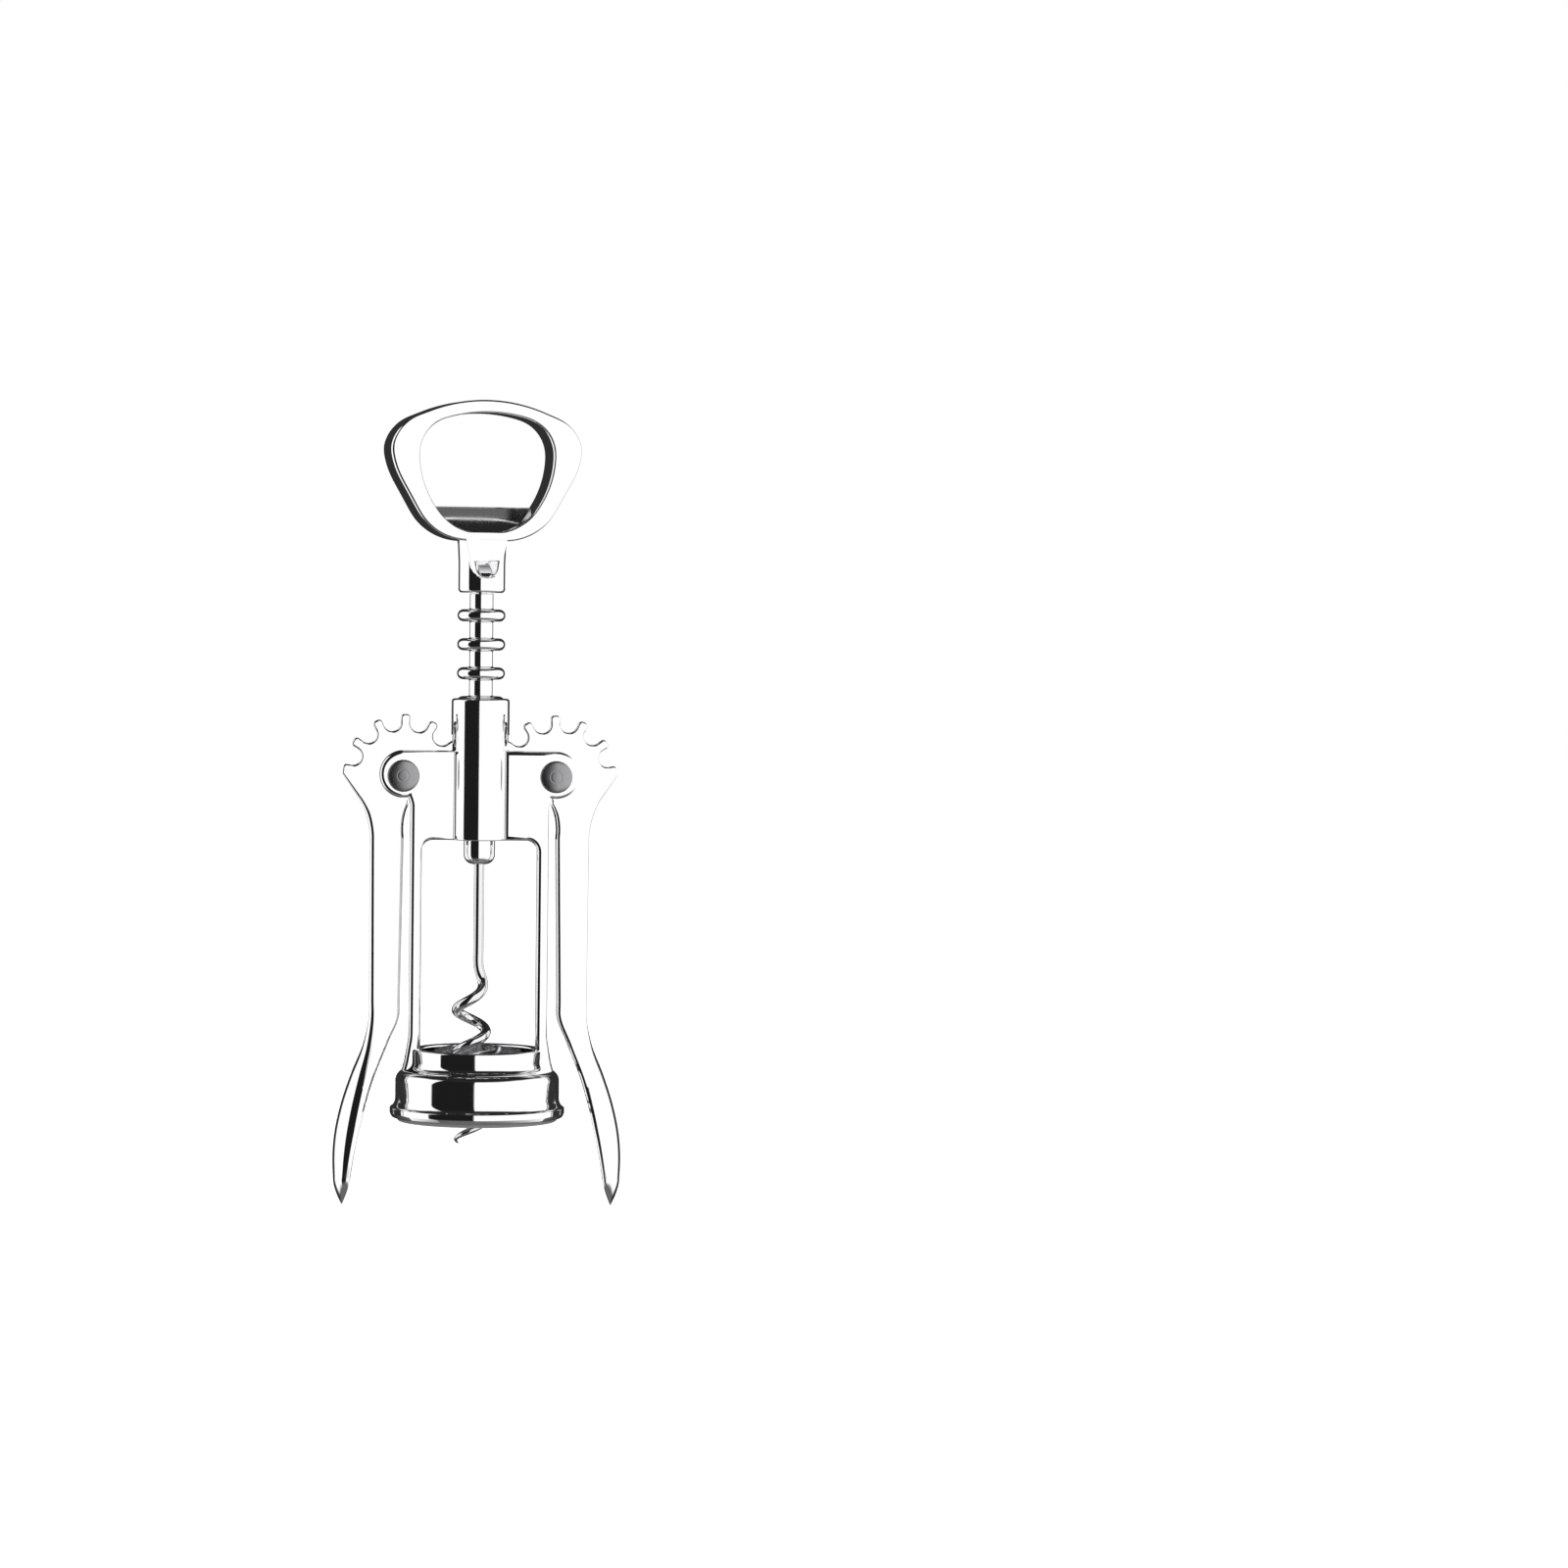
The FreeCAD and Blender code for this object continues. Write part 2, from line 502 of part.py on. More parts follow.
def make_worm():
    start, tip, pitch = value("worm_start"), value("worm_tip"), value("worm_pitch")
    radius, offset, wire = value("worm_radius"), value("worm_offset"), value("rod_radius")
    run_out = value("worm_run_out")
    rate = 2 * math.pi / pitch
    steps = 12  # path points for each turn

    def path_point(height):
        """Point of the path at a height. Over the run-out the wire leaves the rod's axis and takes
        up its rate of turn evenly; below it, it is an even right-handed helix, first on -X."""
        below = max(0.0, start - height)
        spread = min(1.0, below / run_out)
        spread = spread * spread * (3 - 2 * spread)
        lag = (run_out - below) ** 2 / (2 * run_out) if below < run_out else 0.0
        angle = math.pi + rate * (run_out - below - lag)
        return Vector(spread * (radius * math.cos(angle) - offset), spread * radius * math.sin(angle), height)

    count = round((start - tip) / pitch * steps)
    heights = [start - (start - tip) * n / count for n in range(count + 1)]
    helix = Part.BSplineCurve()
    helix.interpolate(Points=[path_point(height) for height in heights], Scale=False,
                      InitialTangent=Vector(0, 0, -pitch / steps),
                      FinalTangent=path_point(tip) - path_point(tip + 0.1))
    ground, end = helix.parameter(path_point(tip + value("worm_point"))), helix.LastParameter

    def rim(at, size):
        """A round section of the wire, square to the path."""
        return Part.Wire([Part.Circle(helix.value(at), Vector(*helix.tangent(at)[0]), size).toShape()])

    rod_line = Part.makeLine(Vector(0, 0, value("rod_top")), path_point(start))
    even = Part.Wire([rod_line, helix.toShape(helix.FirstParameter, ground)])
    rod_end = Part.Wire([Part.Circle(Vector(0, 0, value("rod_top")), Vector(0, 0, -1), wire).toShape()])
    wire_solid = even.makePipeShell([rod_end], True, True)
    point = Part.Wire([helix.toShape(ground, end)])
    point_solid = point.makePipeShell([rim(ground, wire), rim(end, value("worm_point_radius"))], True, True)
    across = Rotation(Vector(0, 0, 1), value("handle_turn")).multVec(Vector(2 * wire, 0, 0))
    pin_hole = Part.makeCylinder(value("cross_pin_radius"), 4 * wire,
                                 Vector(0, 0, value("cross_pin_height")) - across, across)
    worm = doc.addObject("Part::Feature", "worm")
    worm.Label = "worm"
    worm.Shape = wire_solid.fuse(point_solid).cut(pin_hole)
    worm.Placement = Placement()
    return worm


# ---- handle: bottle-opener loop with its web, collar and tongue, turned on the worm's axis

def make_handle():
    body = body_named("handle")
    crown, knee = "(loop_top - 3.4)", "0.68*loop_half_width"
    right = [  # the loop's outline on +X, from the crown down to the collar
        (knee, crown, "1.56"),
        ("loop_half_width", "loop_waist", "0.53"),
        ("loop_half_width - 2.9", "loop_waist - 8.4"),
        ("loop_half_width - 7.0", "loop_bottom + 5.6", "1.28"),
        ("collar_radius", "loop_bottom"),
    ]
    inside, under = "(loop_half_width - loop_side)", "(loop_top - loop_crown)"
    opening = [
        (f"0.6*{inside}", f"{under} - 1.3", "1.66"),
        (inside, "loop_waist - 1.1", "0.95"),
        (f"{inside} - 3.7", "web_top", "1.78"),
        ("0.5", "loop_bottom + loop_floor"),
    ]
    ring_hole = bowed(opening + mirrored(opening, "1.3"))
    # the cap lifter's web: a bar across the opening's foot, cut to a ramp that rises to the back
    web, foot = f"({inside} - 3.2)", "(loop_bottom + loop_floor/2)"
    slab(body, "cap_lifter_web", "XZ_Plane", "handle_thickness - 2*web_inset", [
        (f"-{web}", "web_top"), (f"-{web} + 5", foot), (f"{web} - 5", foot), (web, "web_top"),
    ])
    lip, front = "(handle_thickness/2 - web_inset - web_lip)", "(handle_thickness/2 + 1)"
    floor = "loop_bottom + loop_floor"
    slab(body, "ramp", "YZ_Plane", "2*loop_half_width", [
        (f"-{front}", floor), ("web_inset - handle_thickness/2", floor),
        (lip, "web_top"), (lip, "web_top + 1"), (f"-{front}", "web_top + 1"),
    ], kind="Pocket")
    whole = right + mirrored(right, f"(loop_top - {crown})")
    slab(body, "loop", "XZ_Plane", "handle_thickness", bowed(whole), hole=ring_hole)
    turned(body, "collar", [
        ("0", "collar_bottom"),
        ("collar_radius - collar_edge", "collar_bottom", "collar_edge", 1),
        ("collar_radius", "collar_bottom + collar_edge"),
        ("collar_radius", "loop_bottom + loop_floor*0.6"),
        ("0", "loop_bottom + loop_floor*0.6"),
    ])
    # a flat tongue on each face, level with the loop's faces, with a half-moon scoop in it
    drop = "(tongue_shoulder - tongue_end)"
    round_end = f"(tongue_shoulder_half^2 + {drop}^2)/(2*{drop})"
    tongue = [
        ("-tongue_half_width", "loop_bottom + 1"),
        ("-tongue_shoulder_half", "tongue_shoulder", round_end, 1),
        ("0", "tongue_end", round_end, 1),
        ("tongue_shoulder_half", "tongue_shoulder"),
        ("tongue_half_width", "loop_bottom + 1"),
    ]
    narrow = "(scoop_half_width*0.9)"
    scoop = [
        ("-scoop_half_width", "scoop_top"),
        (f"-{narrow}", "scoop_top - scoop_straight", narrow, 1),
        ("0", f"scoop_top - scoop_straight - {narrow}", narrow, 1),
        (narrow, "scoop_top - scoop_straight"),
        ("scoop_half_width", "scoop_top"),
    ]
    slab(body, "tongue", "XZ_Plane", "handle_thickness", tongue)
    for face, sign in (("front", "-"), ("back", "")):
        plane = "handle_thickness/2"
        cuts = (("flat", f"{plane} + collar_radius/2", "collar_radius", tongue),
                ("scoop", plane, "2*scoop_depth", scoop))
        for name, distance, depth, corners in cuts:
            sketch = sketch_on(body, f"{face}_{name}_outline", "XZ_Plane", f"-({sign}1)*({distance})")
            outline(sketch, corners)
            feature(body, "Pocket", f"{face}_{name}", sketch, SideType="Symmetric", Length=depth)
    turned(body, "rod_bore", [("0", "collar_bottom - 1"), ("rod_radius", "collar_bottom - 1"),
                              ("rod_radius", "rod_top"), ("0", "rod_top")], kind="Groove")
    sketch = sketch_on(body, "cross_hole_outline", "YZ_Plane")
    circle(sketch, "0", "cross_pin_height", "cross_pin_radius")
    feature(body, "Pocket", "cross_hole", sketch, SideType="Symmetric", Length="3*collar_radius")
    bind(body, Placement__Rotation__Angle="handle_turn * 1 deg")
    return body


def make_cross_pin():
    pin = doc.addObject("Part::Cylinder", "handle_cross_pin")
    pin.Label = "handle_cross_pin"
    bind(pin, Radius="cross_pin_radius", Height="2*(collar_radius - cross_pin_sink)")
    along = Rotation(Vector(0, 0, 1), value("handle_turn")).multiply(Rotation(Vector(0, 1, 0), 90))
    reach = along.multVec(Vector(0, 0, value("collar_radius - cross_pin_sink")))
    pin.Placement = Placement(Vector(0, 0, value("cross_pin_height")) - reach, along)
    return pin


PIECES = [
    make_frame(), make_liner(), make_rivet("left_pivot_rivet", "-"), make_rivet("right_pivot_rivet", ""),
    make_lever("left_lever", -1), make_lever("right_lever", 1), make_rack(), make_handle(),
    make_worm(), make_ferrule(), make_cross_pin(),
]
doc.recompute()

for thing in doc.Objects:
    if {"Invalid", "Error"} & set(thing.State):
        raise RuntimeError(f"{thing.Label} is {thing.State}")
os.makedirs("parts", exist_ok=True)
for piece in PIECES:
    shape = piece.Shape
    if shape.isNull() or not shape.isValid() or len(shape.Solids) != 1:
        raise RuntimeError(f"{piece.Label}: null {shape.isNull()}, solids {len(shape.Solids)}")
    shape.exportStep(f"parts/{piece.Label}.step")
    box = shape.optimalBoundingBox(False)
    print(f"{piece.Label}: {shape.Volume:.0f} mm3, X {box.XMin:.1f}..{box.XMax:.1f}, "
          f"Y {box.YMin:.1f}..{box.YMax:.1f}, Z {box.ZMin:.1f}..{box.ZMax:.1f}")
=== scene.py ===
# Lever corkscrew: polished chrome frame, levers, rack and handle, steel rivets and worm, grey liner.
# Sizes are in millimetres and become metres when a mesh is made. Front is -Y, up is +Z.
import json
import math

import bmesh
import bpy
import numpy as np
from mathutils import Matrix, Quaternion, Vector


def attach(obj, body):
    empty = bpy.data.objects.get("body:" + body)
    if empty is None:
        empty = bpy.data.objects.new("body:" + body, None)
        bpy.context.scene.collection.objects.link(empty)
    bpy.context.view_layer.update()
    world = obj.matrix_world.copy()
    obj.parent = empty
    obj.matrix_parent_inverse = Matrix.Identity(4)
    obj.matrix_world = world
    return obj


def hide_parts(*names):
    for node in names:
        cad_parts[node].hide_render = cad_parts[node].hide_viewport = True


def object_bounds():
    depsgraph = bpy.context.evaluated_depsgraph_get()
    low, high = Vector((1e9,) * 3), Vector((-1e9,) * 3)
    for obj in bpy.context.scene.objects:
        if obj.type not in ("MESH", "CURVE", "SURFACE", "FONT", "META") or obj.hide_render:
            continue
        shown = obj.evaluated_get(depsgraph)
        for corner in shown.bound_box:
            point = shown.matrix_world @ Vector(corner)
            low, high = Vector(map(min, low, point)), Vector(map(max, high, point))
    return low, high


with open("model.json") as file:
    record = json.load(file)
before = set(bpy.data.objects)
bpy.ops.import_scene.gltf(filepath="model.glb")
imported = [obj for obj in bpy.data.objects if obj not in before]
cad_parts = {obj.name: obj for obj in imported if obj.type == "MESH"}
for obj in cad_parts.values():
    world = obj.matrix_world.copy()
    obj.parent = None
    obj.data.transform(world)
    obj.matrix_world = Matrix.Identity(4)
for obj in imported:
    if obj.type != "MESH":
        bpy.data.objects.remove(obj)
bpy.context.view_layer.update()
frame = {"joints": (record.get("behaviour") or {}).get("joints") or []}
mm = 0.001
joints = {joint["name"]: joint for joint in frame["joints"]}
flatWeight = 80  # how much more a large face counts in the weighted normals
straightHalf = 1.55  # half the angle of a corner that counts as straight, in radians
leastRound = 1e-3  # smallest rounding of a plate's rim
tiny = 1e-9  # keeps a length that is divided by above nothing


# A mesh piece from (points in millimetres, faces); edges steeper than sharp degrees stay crisp.
def addMesh(name, shape, body, node, material, sharp=50, weld=0.002, flat=False):
    points, faces = shape
    mesh = bpy.data.meshes.new(name)
    mesh.from_pydata((np.asarray(points) * mm).tolist(), [], faces)
    work = bmesh.new()
    work.from_mesh(mesh)
    bmesh.ops.remove_doubles(work, verts=work.verts, dist=weld * mm)
    bmesh.ops.recalc_face_normals(work, faces=work.faces)
    work.to_mesh(mesh)
    work.free()
    piece = bpy.data.objects.new(name, mesh)
    bpy.context.scene.collection.objects.link(piece)
    mesh.polygons.foreach_set("use_smooth", [True] * len(mesh.polygons))
    mesh.set_sharp_from_angle(angle=math.radians(sharp))
    mesh.materials.append(material)
    if flat:  # large faces keep their own normals, and the rounded rims take up the turn
        modifier = piece.modifiers.new("flatFaces", "WEIGHTED_NORMAL")
        modifier.keep_sharp = True
        modifier.weight = flatWeight
    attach(piece, body)
    if node:
        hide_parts(*([node] if isinstance(node, str) else node))
    return piece


# Quads of a grid of points stored row by row; either way round may close on itself.
def gridFaces(rows, columns, closedRows=False, closedColumns=False):
    r = np.arange(rows if closedRows else rows - 1)
    c = np.arange(columns if closedColumns else columns - 1)
    r, c = (a.ravel() for a in np.meshgrid(r, c, indexing="ij"))
    rn, cn = (r + 1) % rows, (c + 1) % columns
    return np.stack([r * columns + c, r * columns + cn, rn * columns + cn, rn * columns + c], 1).tolist()


# Several (points, faces) pairs as one.
def joined(*parts):
    points, faces, count = [], [], 0
    for somePoints, someFaces in parts:
        points.append(np.asarray(somePoints))
        faces += [[index + count for index in face] for face in someFaces]
        count += len(somePoints)
    return np.concatenate(points), faces


# Points of a circular arc: centre plus radius times (cosine, sine) of evenly spaced degrees.
def arc(centre, radius, start, end, steps=8):
    angle = np.radians(np.linspace(start, end, steps + 1))
    return np.stack([centre[0] + radius * np.cos(angle), centre[1] + radius * np.sin(angle)], 1)


# A closed outline with each corner replaced by a tangent arc of its own radius (0 keeps it).
def softCorners(points, radii, steps=5):
    out = []
    points = np.asarray(points, float)
    for here, before, after, radius in zip(points, np.roll(points, 1, 0), np.roll(points, -1, 0), radii):
        toBefore, toAfter = before - here, after - here
        a, b = toBefore / np.linalg.norm(toBefore), toAfter / np.linalg.norm(toAfter)
        half = 0.5 * math.acos(max(-1, min(1, float(a @ b))))
        if radius <= 0 or half > straightHalf:
            out.append(here[None])
            continue
        reach = radius / math.tan(half)
        centre = here + (a + b) / np.linalg.norm(a + b) * radius / math.sin(half)
        start, end = here + a * reach - centre, here + b * reach - centre
        s, e = math.atan2(start[1], start[0]), math.atan2(end[1], end[0])
        sweep = (e - s + math.pi) % (2 * math.pi) - math.pi
        angle = s + sweep * np.linspace(0, 1, steps + 1)
        out.append(centre + radius * np.stack([np.cos(angle), np.sin(angle)], 1))
    return np.concatenate(out)


# A profile of (radius, height) points turned about an axis:
# x = radius times cosine of the turn, y = radius times sine, z = height.
def lathe(profile, segments, closed=True, axis="z", centre=(0, 0, 0)):
    profile = np.asarray(profile, float)
    turn = np.linspace(0, 2 * np.pi, segments, endpoint=False)[:, None]
    x, y = profile[:, 0] * np.cos(turn), profile[:, 0] * np.sin(turn)
    z = profile[:, 1] + 0 * turn
    points = np.stack([x, y, z], 2).reshape(-1, 3)
    if axis == "y":
        points = points[:, [0, 2, 1]] * np.array([1, -1, 1])
    return points + np.asarray(centre), gridFaces(segments, len(profile), True, closed)


# Each point of a counter-clockwise outline moved inwards, square to its two edges' mean.
def inset(outline, distance, closed=True):
    run = np.roll(outline, -1, 0) - outline
    back = outline - np.roll(outline, 1, 0)
    if not closed:
        run[-1], back[0] = back[-1], run[0]
    run, back = (v / np.maximum(np.linalg.norm(v, axis=1, keepdims=True), tiny) for v in (run, back))
    inward = np.stack([-(run + back)[:, 1], (run + back)[:, 0]], 1)
    inward /= np.maximum(np.linalg.norm(inward, axis=1, keepdims=True), tiny)
    miter = 1 / np.maximum(np.sum(inward * np.stack([-run[:, 1], run[:, 0]], 1), 1, keepdims=True), 0.5)
    return outline + inward * distance * miter


# Rows of a plate's edge from its low face to its high face, as (heights, distances inwards);
# the roundings may differ from point to point.
def edgeRows(thickness, lowRound, highRound, straight, steps=5):
    quarter = np.linspace(0, np.pi / 2, steps + 1)[:, None]
    low, high = np.atleast_1d(lowRound)[None], np.atleast_1d(highRound)[None]
    heights = [low * (1 - np.cos(quarter)), thickness - high * (1 - np.cos(quarter[::-1]))]
    depths = [low * (1 - np.sin(quarter)), high * (1 - np.sin(quarter[::-1]))]
    share = np.linspace(0, 1, straight + 1)[1:-1, None]
    middle = heights[0][-1] + (heights[1][0] - heights[0][-1]) * share
    return (np.concatenate([heights[0], middle, heights[1]]),
            np.concatenate([depths[0], 0 * middle, depths[1]]))


# A flat plate in XZ: its counter-clockwise outline carried from y = front to y = back, inset
# along a quarter circle at each rim, with a flat face at both ends.
def plate(outline, front, back, frontRound, backRound, closed=True, straight=1):
    rounds = (np.maximum(rounding, leastRound) for rounding in (frontRound, backRound))
    heights, depths = edgeRows(back - front, *rounds, straight)
    count = len(outline)
    heights, depths = (np.broadcast_to(a, (len(a), count)) for a in (heights, depths))
    way = inset(outline, 1.0, closed) - outline
    flat = outline + way * depths[:, :, None]
    points = np.stack([flat[:, :, 0], front + heights, flat[:, :, 1]], 2).reshape(-1, 3)
    faces = gridFaces(len(heights), count, False, closed)
    last = (len(heights) - 1) * count
    return points, faces + [list(range(count)), list(range(last, last + count))]


# A round wire along a path: centre plus radius times (cosine, sine) of a turn measured from
# the side direction, which is the path's direction crossed with Y; both ends are closed.
def pipe(path, radius, around):
    path = np.asarray(path, float)
    radius = np.broadcast_to(radius, len(path))
    ahead = np.gradient(path, axis=0)
    ahead /= np.linalg.norm(ahead, axis=1, keepdims=True)
    side = np.cross(ahead, [0, 1, 0])
    side /= np.linalg.norm(side, axis=1, keepdims=True)
    other = np.cross(ahead, side)
    turn = np.linspace(0, 2 * np.pi, around, endpoint=False)[None, :, None]
    ring = side[:, None] * np.cos(turn) + other[:, None] * np.sin(turn)
    points = (path[:, None] + ring * radius[:, None, None]).reshape(-1, 3)
    faces = gridFaces(len(path), around, False, True)
    last = (len(path) - 1) * around
    return points, faces + [list(range(around)), list(range(last, last + around))]


# Points along edges that are straight or arcs: a corner is (x, z) or (x, z, radius, turn), and
# its arc runs to the next corner, bulging to the right (turn 1) or to the left (turn -1).
def arcChain(corners, step=0.25):
    out = []
    for corner, following in zip(corners, corners[1:] + corners[:1]):
        start, end = np.array(corner[:2], float), np.array(following[:2], float)
        run = end - start
        length = np.linalg.norm(run)
        share = np.linspace(0, 1, max(2, int(length / step)), endpoint=False)[:, None]
        line = start + run * share
        if len(corner) == 4:
            radius, turn = corner[2:]
            left = np.array([-run[1], run[0]]) / length
            centre = (start + end) / 2 + left * turn * math.sqrt(max(0, radius ** 2 - length ** 2 / 4))
            a, b = (math.atan2(*(p - centre)[::-1]) for p in (start, end))
            sweep = (b - a + math.pi) % (2 * math.pi) - math.pi
            line = centre + radius * np.concatenate([np.cos(a + sweep * share), np.sin(a + sweep * share)], 1)
        out.append(line)
    return np.concatenate(out)


# A line's points again, evenly spaced along its length.
def evenly(points, count, closed=True):
    loop = np.concatenate([points, points[:1]]) if closed else points
    along = np.concatenate([[0], np.cumsum(np.linalg.norm(np.diff(loop, axis=0), axis=1))])
    at = np.linspace(0, along[-1], count, endpoint=not closed)
    return np.stack([np.interp(at, along, loop[:, axis]) for axis in range(loop.shape[1])], 1)


# A closed, evenly spaced line smoothed over a reach in points: a Gaussian filter by Fourier sums.
def eased(points, reach):
    wave = np.fft.fftfreq(len(points))[:, None]
    kept = np.exp(-2 * (np.pi * wave * reach) ** 2)
    return np.real(np.fft.ifft(np.fft.fft(points, axis=0) * kept, axis=0))


# A smooth curve through values at places: cubic Hermite spans with slopes from the neighbours,
# and level beside a level span.
def through(at, places, values):
    places, values = np.asarray(places, float), np.asarray(values, float)
    slope = np.gradient(values, places)
    level = np.diff(values) == 0
    slope[1:][level] = slope[:-1][level] = 0
    n = np.clip(np.searchsorted(places, at, side="right") - 1, 0, len(places) - 2)
    width = places[n + 1] - places[n]
    u = np.clip((at - places[n]) / width, 0, 1)
    return ((2 * u ** 3 - 3 * u ** 2 + 1) * values[n] + (u ** 3 - 2 * u ** 2 + u) * width * slope[n]
            + (3 * u ** 2 - 2 * u ** 3) * values[n + 1] + (u ** 3 - u ** 2) * width * slope[n + 1])


# A material and its shader.
def newMaterial(name, metallic, colour, roughness, coat=0.0):
    material = bpy.data.materials.new(name)
    material.use_nodes = True
    shader = material.node_tree.nodes["Principled BSDF"]
    shader.inputs["Metallic"].default_value = metallic
    shader.inputs["Base Color"].default_value = (*colour, 1)
    shader.inputs["Roughness"].default_value = roughness
    shader.inputs["Coat Weight"].default_value = coat
    return material, shader


# A node with its settings; an input is a number, a colour or another node's output.
def addNode(material, kind, inputs=(), **settings):
    node = material.node_tree.nodes.new(kind)
    for key, setting in settings.items():
        setattr(node, key, setting)
    for key, source in dict(inputs).items():
        if hasattr(source, "is_output"):
            material.node_tree.links.new(source, node.inputs[key])
        else:
            node.inputs[key].default_value = source
    return node


# Noise in object space, stretched along an axis by a small scale on it.
def noise(material, scale, detail=3.0, stretch=(1, 1, 1)):
    where = addNode(material, "ShaderNodeTexCoord")
    mapping = addNode(material, "ShaderNodeMapping", {"Vector": where.outputs["Object"], "Scale": stretch})
    return addNode(material, "ShaderNodeTexNoise", {
        "Vector": mapping.outputs["Vector"], "Scale": scale, "Detail": detail})


# A surface's roughness: a noise carried from one interval to another.
def roughBy(material, shader, pattern, fromRange, toRange):
    result = addNode(material, "ShaderNodeMapRange", {
        "Value": pattern.outputs["Fac"], "From Min": fromRange[0], "From Max": fromRange[1],
        "To Min": toRange[0], "To Max": toRange[1]}).outputs["Result"]
    material.node_tree.links.new(result, shader.inputs["Roughness"])


# A surface's colour: from one tone to another by a noise.
def toneBy(material, shader, pattern, first, second):
    tone = addNode(material, "ShaderNodeMix", {
        0: pattern.outputs["Fac"], 6: (*first, 1), 7: (*second, 1)}, data_type="RGBA")
    material.node_tree.links.new(tone.outputs[2], shader.inputs["Base Color"])


# A noise as height over the surface, on top of another bump where one is given.
def bumpBy(material, pattern, strength, height, under=None):
    inputs = {"Height": pattern.outputs["Fac"], "Strength": strength, "Distance": height}
    if under:
        inputs["Normal"] = under.outputs["Normal"]
    return addNode(material, "ShaderNodeBump", inputs)


chrome = {
    "colour": (0.93, 0.93, 0.935), "roughness": (0.035, 0.085), "smudgeSize": 60, "smudgeRange": (0.42, 0.68),
    "waveSize": 120, "waveHeight": 0.00006, "waveStrength": 0.35, "scratchSize": 900,
    "scratchStretch": (1, 1, 0.06), "scratchHeight": 0.00002, "scratchStrength": 0.02,
}


# Bright plate: faint smudges in the roughness, a long soft wave from polishing and hairline marks.
def polishedChrome(name, look):
    material, shader = newMaterial(name, 1.0, look["colour"], look["roughness"][0])
    smudge = noise(material, look["smudgeSize"], 5)
    roughBy(material, shader, smudge, look["smudgeRange"], look["roughness"])
    wave = noise(material, look["waveSize"], 1)
    marks = noise(material, look["scratchSize"], 2, look["scratchStretch"])
    soft = bumpBy(material, wave, look["waveStrength"], look["waveHeight"])
    fine = bumpBy(material, marks, look["scratchStrength"], look["scratchHeight"], soft)
    material.node_tree.links.new(fine.outputs["Normal"], shader.inputs["Normal"])
    return material


steel = {"grainStretch": (1, 1, 0.25), "grainRange": (0.3, 0.7), "grainHeight": 0.00002,
         "grainStrength": 0.12, "cloudShare": 0.15, "darkShare": 0.82}
rivetSteel = {"colour": (0.4, 0.4, 0.41), "roughness": (0.3, 0.4), "grain": 700, **steel}
wormSteel = {"colour": (0.88, 0.88, 0.89), "roughness": (0.03, 0.08), "grain": 500, **steel}


# Plain steel: grain in the roughness and a little in the height, with cloudy changes of tone.
def drawnSteel(name, look):
    material, shader = newMaterial(name, 1.0, look["colour"], look["roughness"][0])
    grain = noise(material, look["grain"], 4, look["grainStretch"])
    clouds = noise(material, look["grain"] * look["cloudShare"], 3)
    roughBy(material, shader, grain, look["grainRange"], look["roughness"])
    toneBy(material, shader, clouds, look["colour"], [look["darkShare"] * c for c in look["colour"]])
    bump = bumpBy(material, grain, look["grainStrength"], look["grainHeight"])
    material.node_tree.links.new(bump.outputs["Normal"], shader.inputs["Normal"])
    return material


linerPlastic = {
    "colour": (0.155, 0.155, 0.16), "roughness": (0.48, 0.62), "grain": 1600, "grainHeight": 0.00003,
    "grainStrength": 0.4, "clouds": 90, "cloudRange": (0.35, 0.65), "lightShare": 1.25,
}


# Matt moulded plastic: a fine spark-eroded grain and slight changes of tone.
def mouldedPlastic(name, look):
    material, shader = newMaterial(name, 0.0, look["colour"], look["roughness"][0])
    grain = noise(material, look["grain"], 3)
    clouds = noise(material, look["clouds"], 3)
    roughBy(material, shader, clouds, look["cloudRange"], look["roughness"])
    toneBy(material, shader, clouds, look["colour"], [look["lightShare"] * c for c in look["colour"]])
    bump = bumpBy(material, grain, look["grainStrength"], look["grainHeight"])
    material.node_tree.links.new(bump.outputs["Normal"], shader.inputs["Normal"])
    return material


chromePlate = polishedChrome("chromePlate", chrome)
rivetMetal = drawnSteel("rivetMetal", rivetSteel)
wormMetal = drawnSteel("wormMetal", wormSteel)
greyPlastic = mouldedPlastic("greyPlastic", linerPlastic)
print("materials ready")


# Frame casting: bell, two legs, four fork plates and the slotted barrel. The leg's outer edge
# widens into the bell: distances beyond the leg with heights, then the roundings of the edge.
casting = {
    "bellRadius": 18.85, "flare": 0.75, "flareHeight": 1.9, "beadRadius": 20.1, "beadHeight": 2.2,
    "shoulder": 10.6, "fillet": 2.0, "round": 2.6, "top": 15.7, "neckRadius": 15.3, "mouthRadius": 13.3,
    "insideRadius": 17.1, "roof": 7.8,
    "legInside": 13.2, "legOutside": 15.9, "depth": 6.9, "slot": 3.6, "forkBottom": 63.8, "forkTop": 84.4,
    "lobe": 5.5, "gearClear": 14.6, "windowCorner": 2.5, "barrelRadius": 6.65, "boreRadius": 5.75,
    "barrelTop": 96.3, "plateEnd": 5.6, "edge": 1.05,
    "beadInset": 0.45, "beadFoot": 1.0, "lip": 0.3, "embed": 0.3, "footFlare": 2.3,
    "footCurve": ((1.9, 9.4), (1.0, 12.6), (0.0, 18.5)), "footRounds": (0, 0, 6, 9, 12),
    "lobeStart": -102, "slotMargin": 0.25, "barrelRounds": (0.25, 0.35, 0.62),
}
pivotOut, pivotHeight = (joints["right_lever_lift"]["pos_m"][axis] / mm for axis in (0, 2))


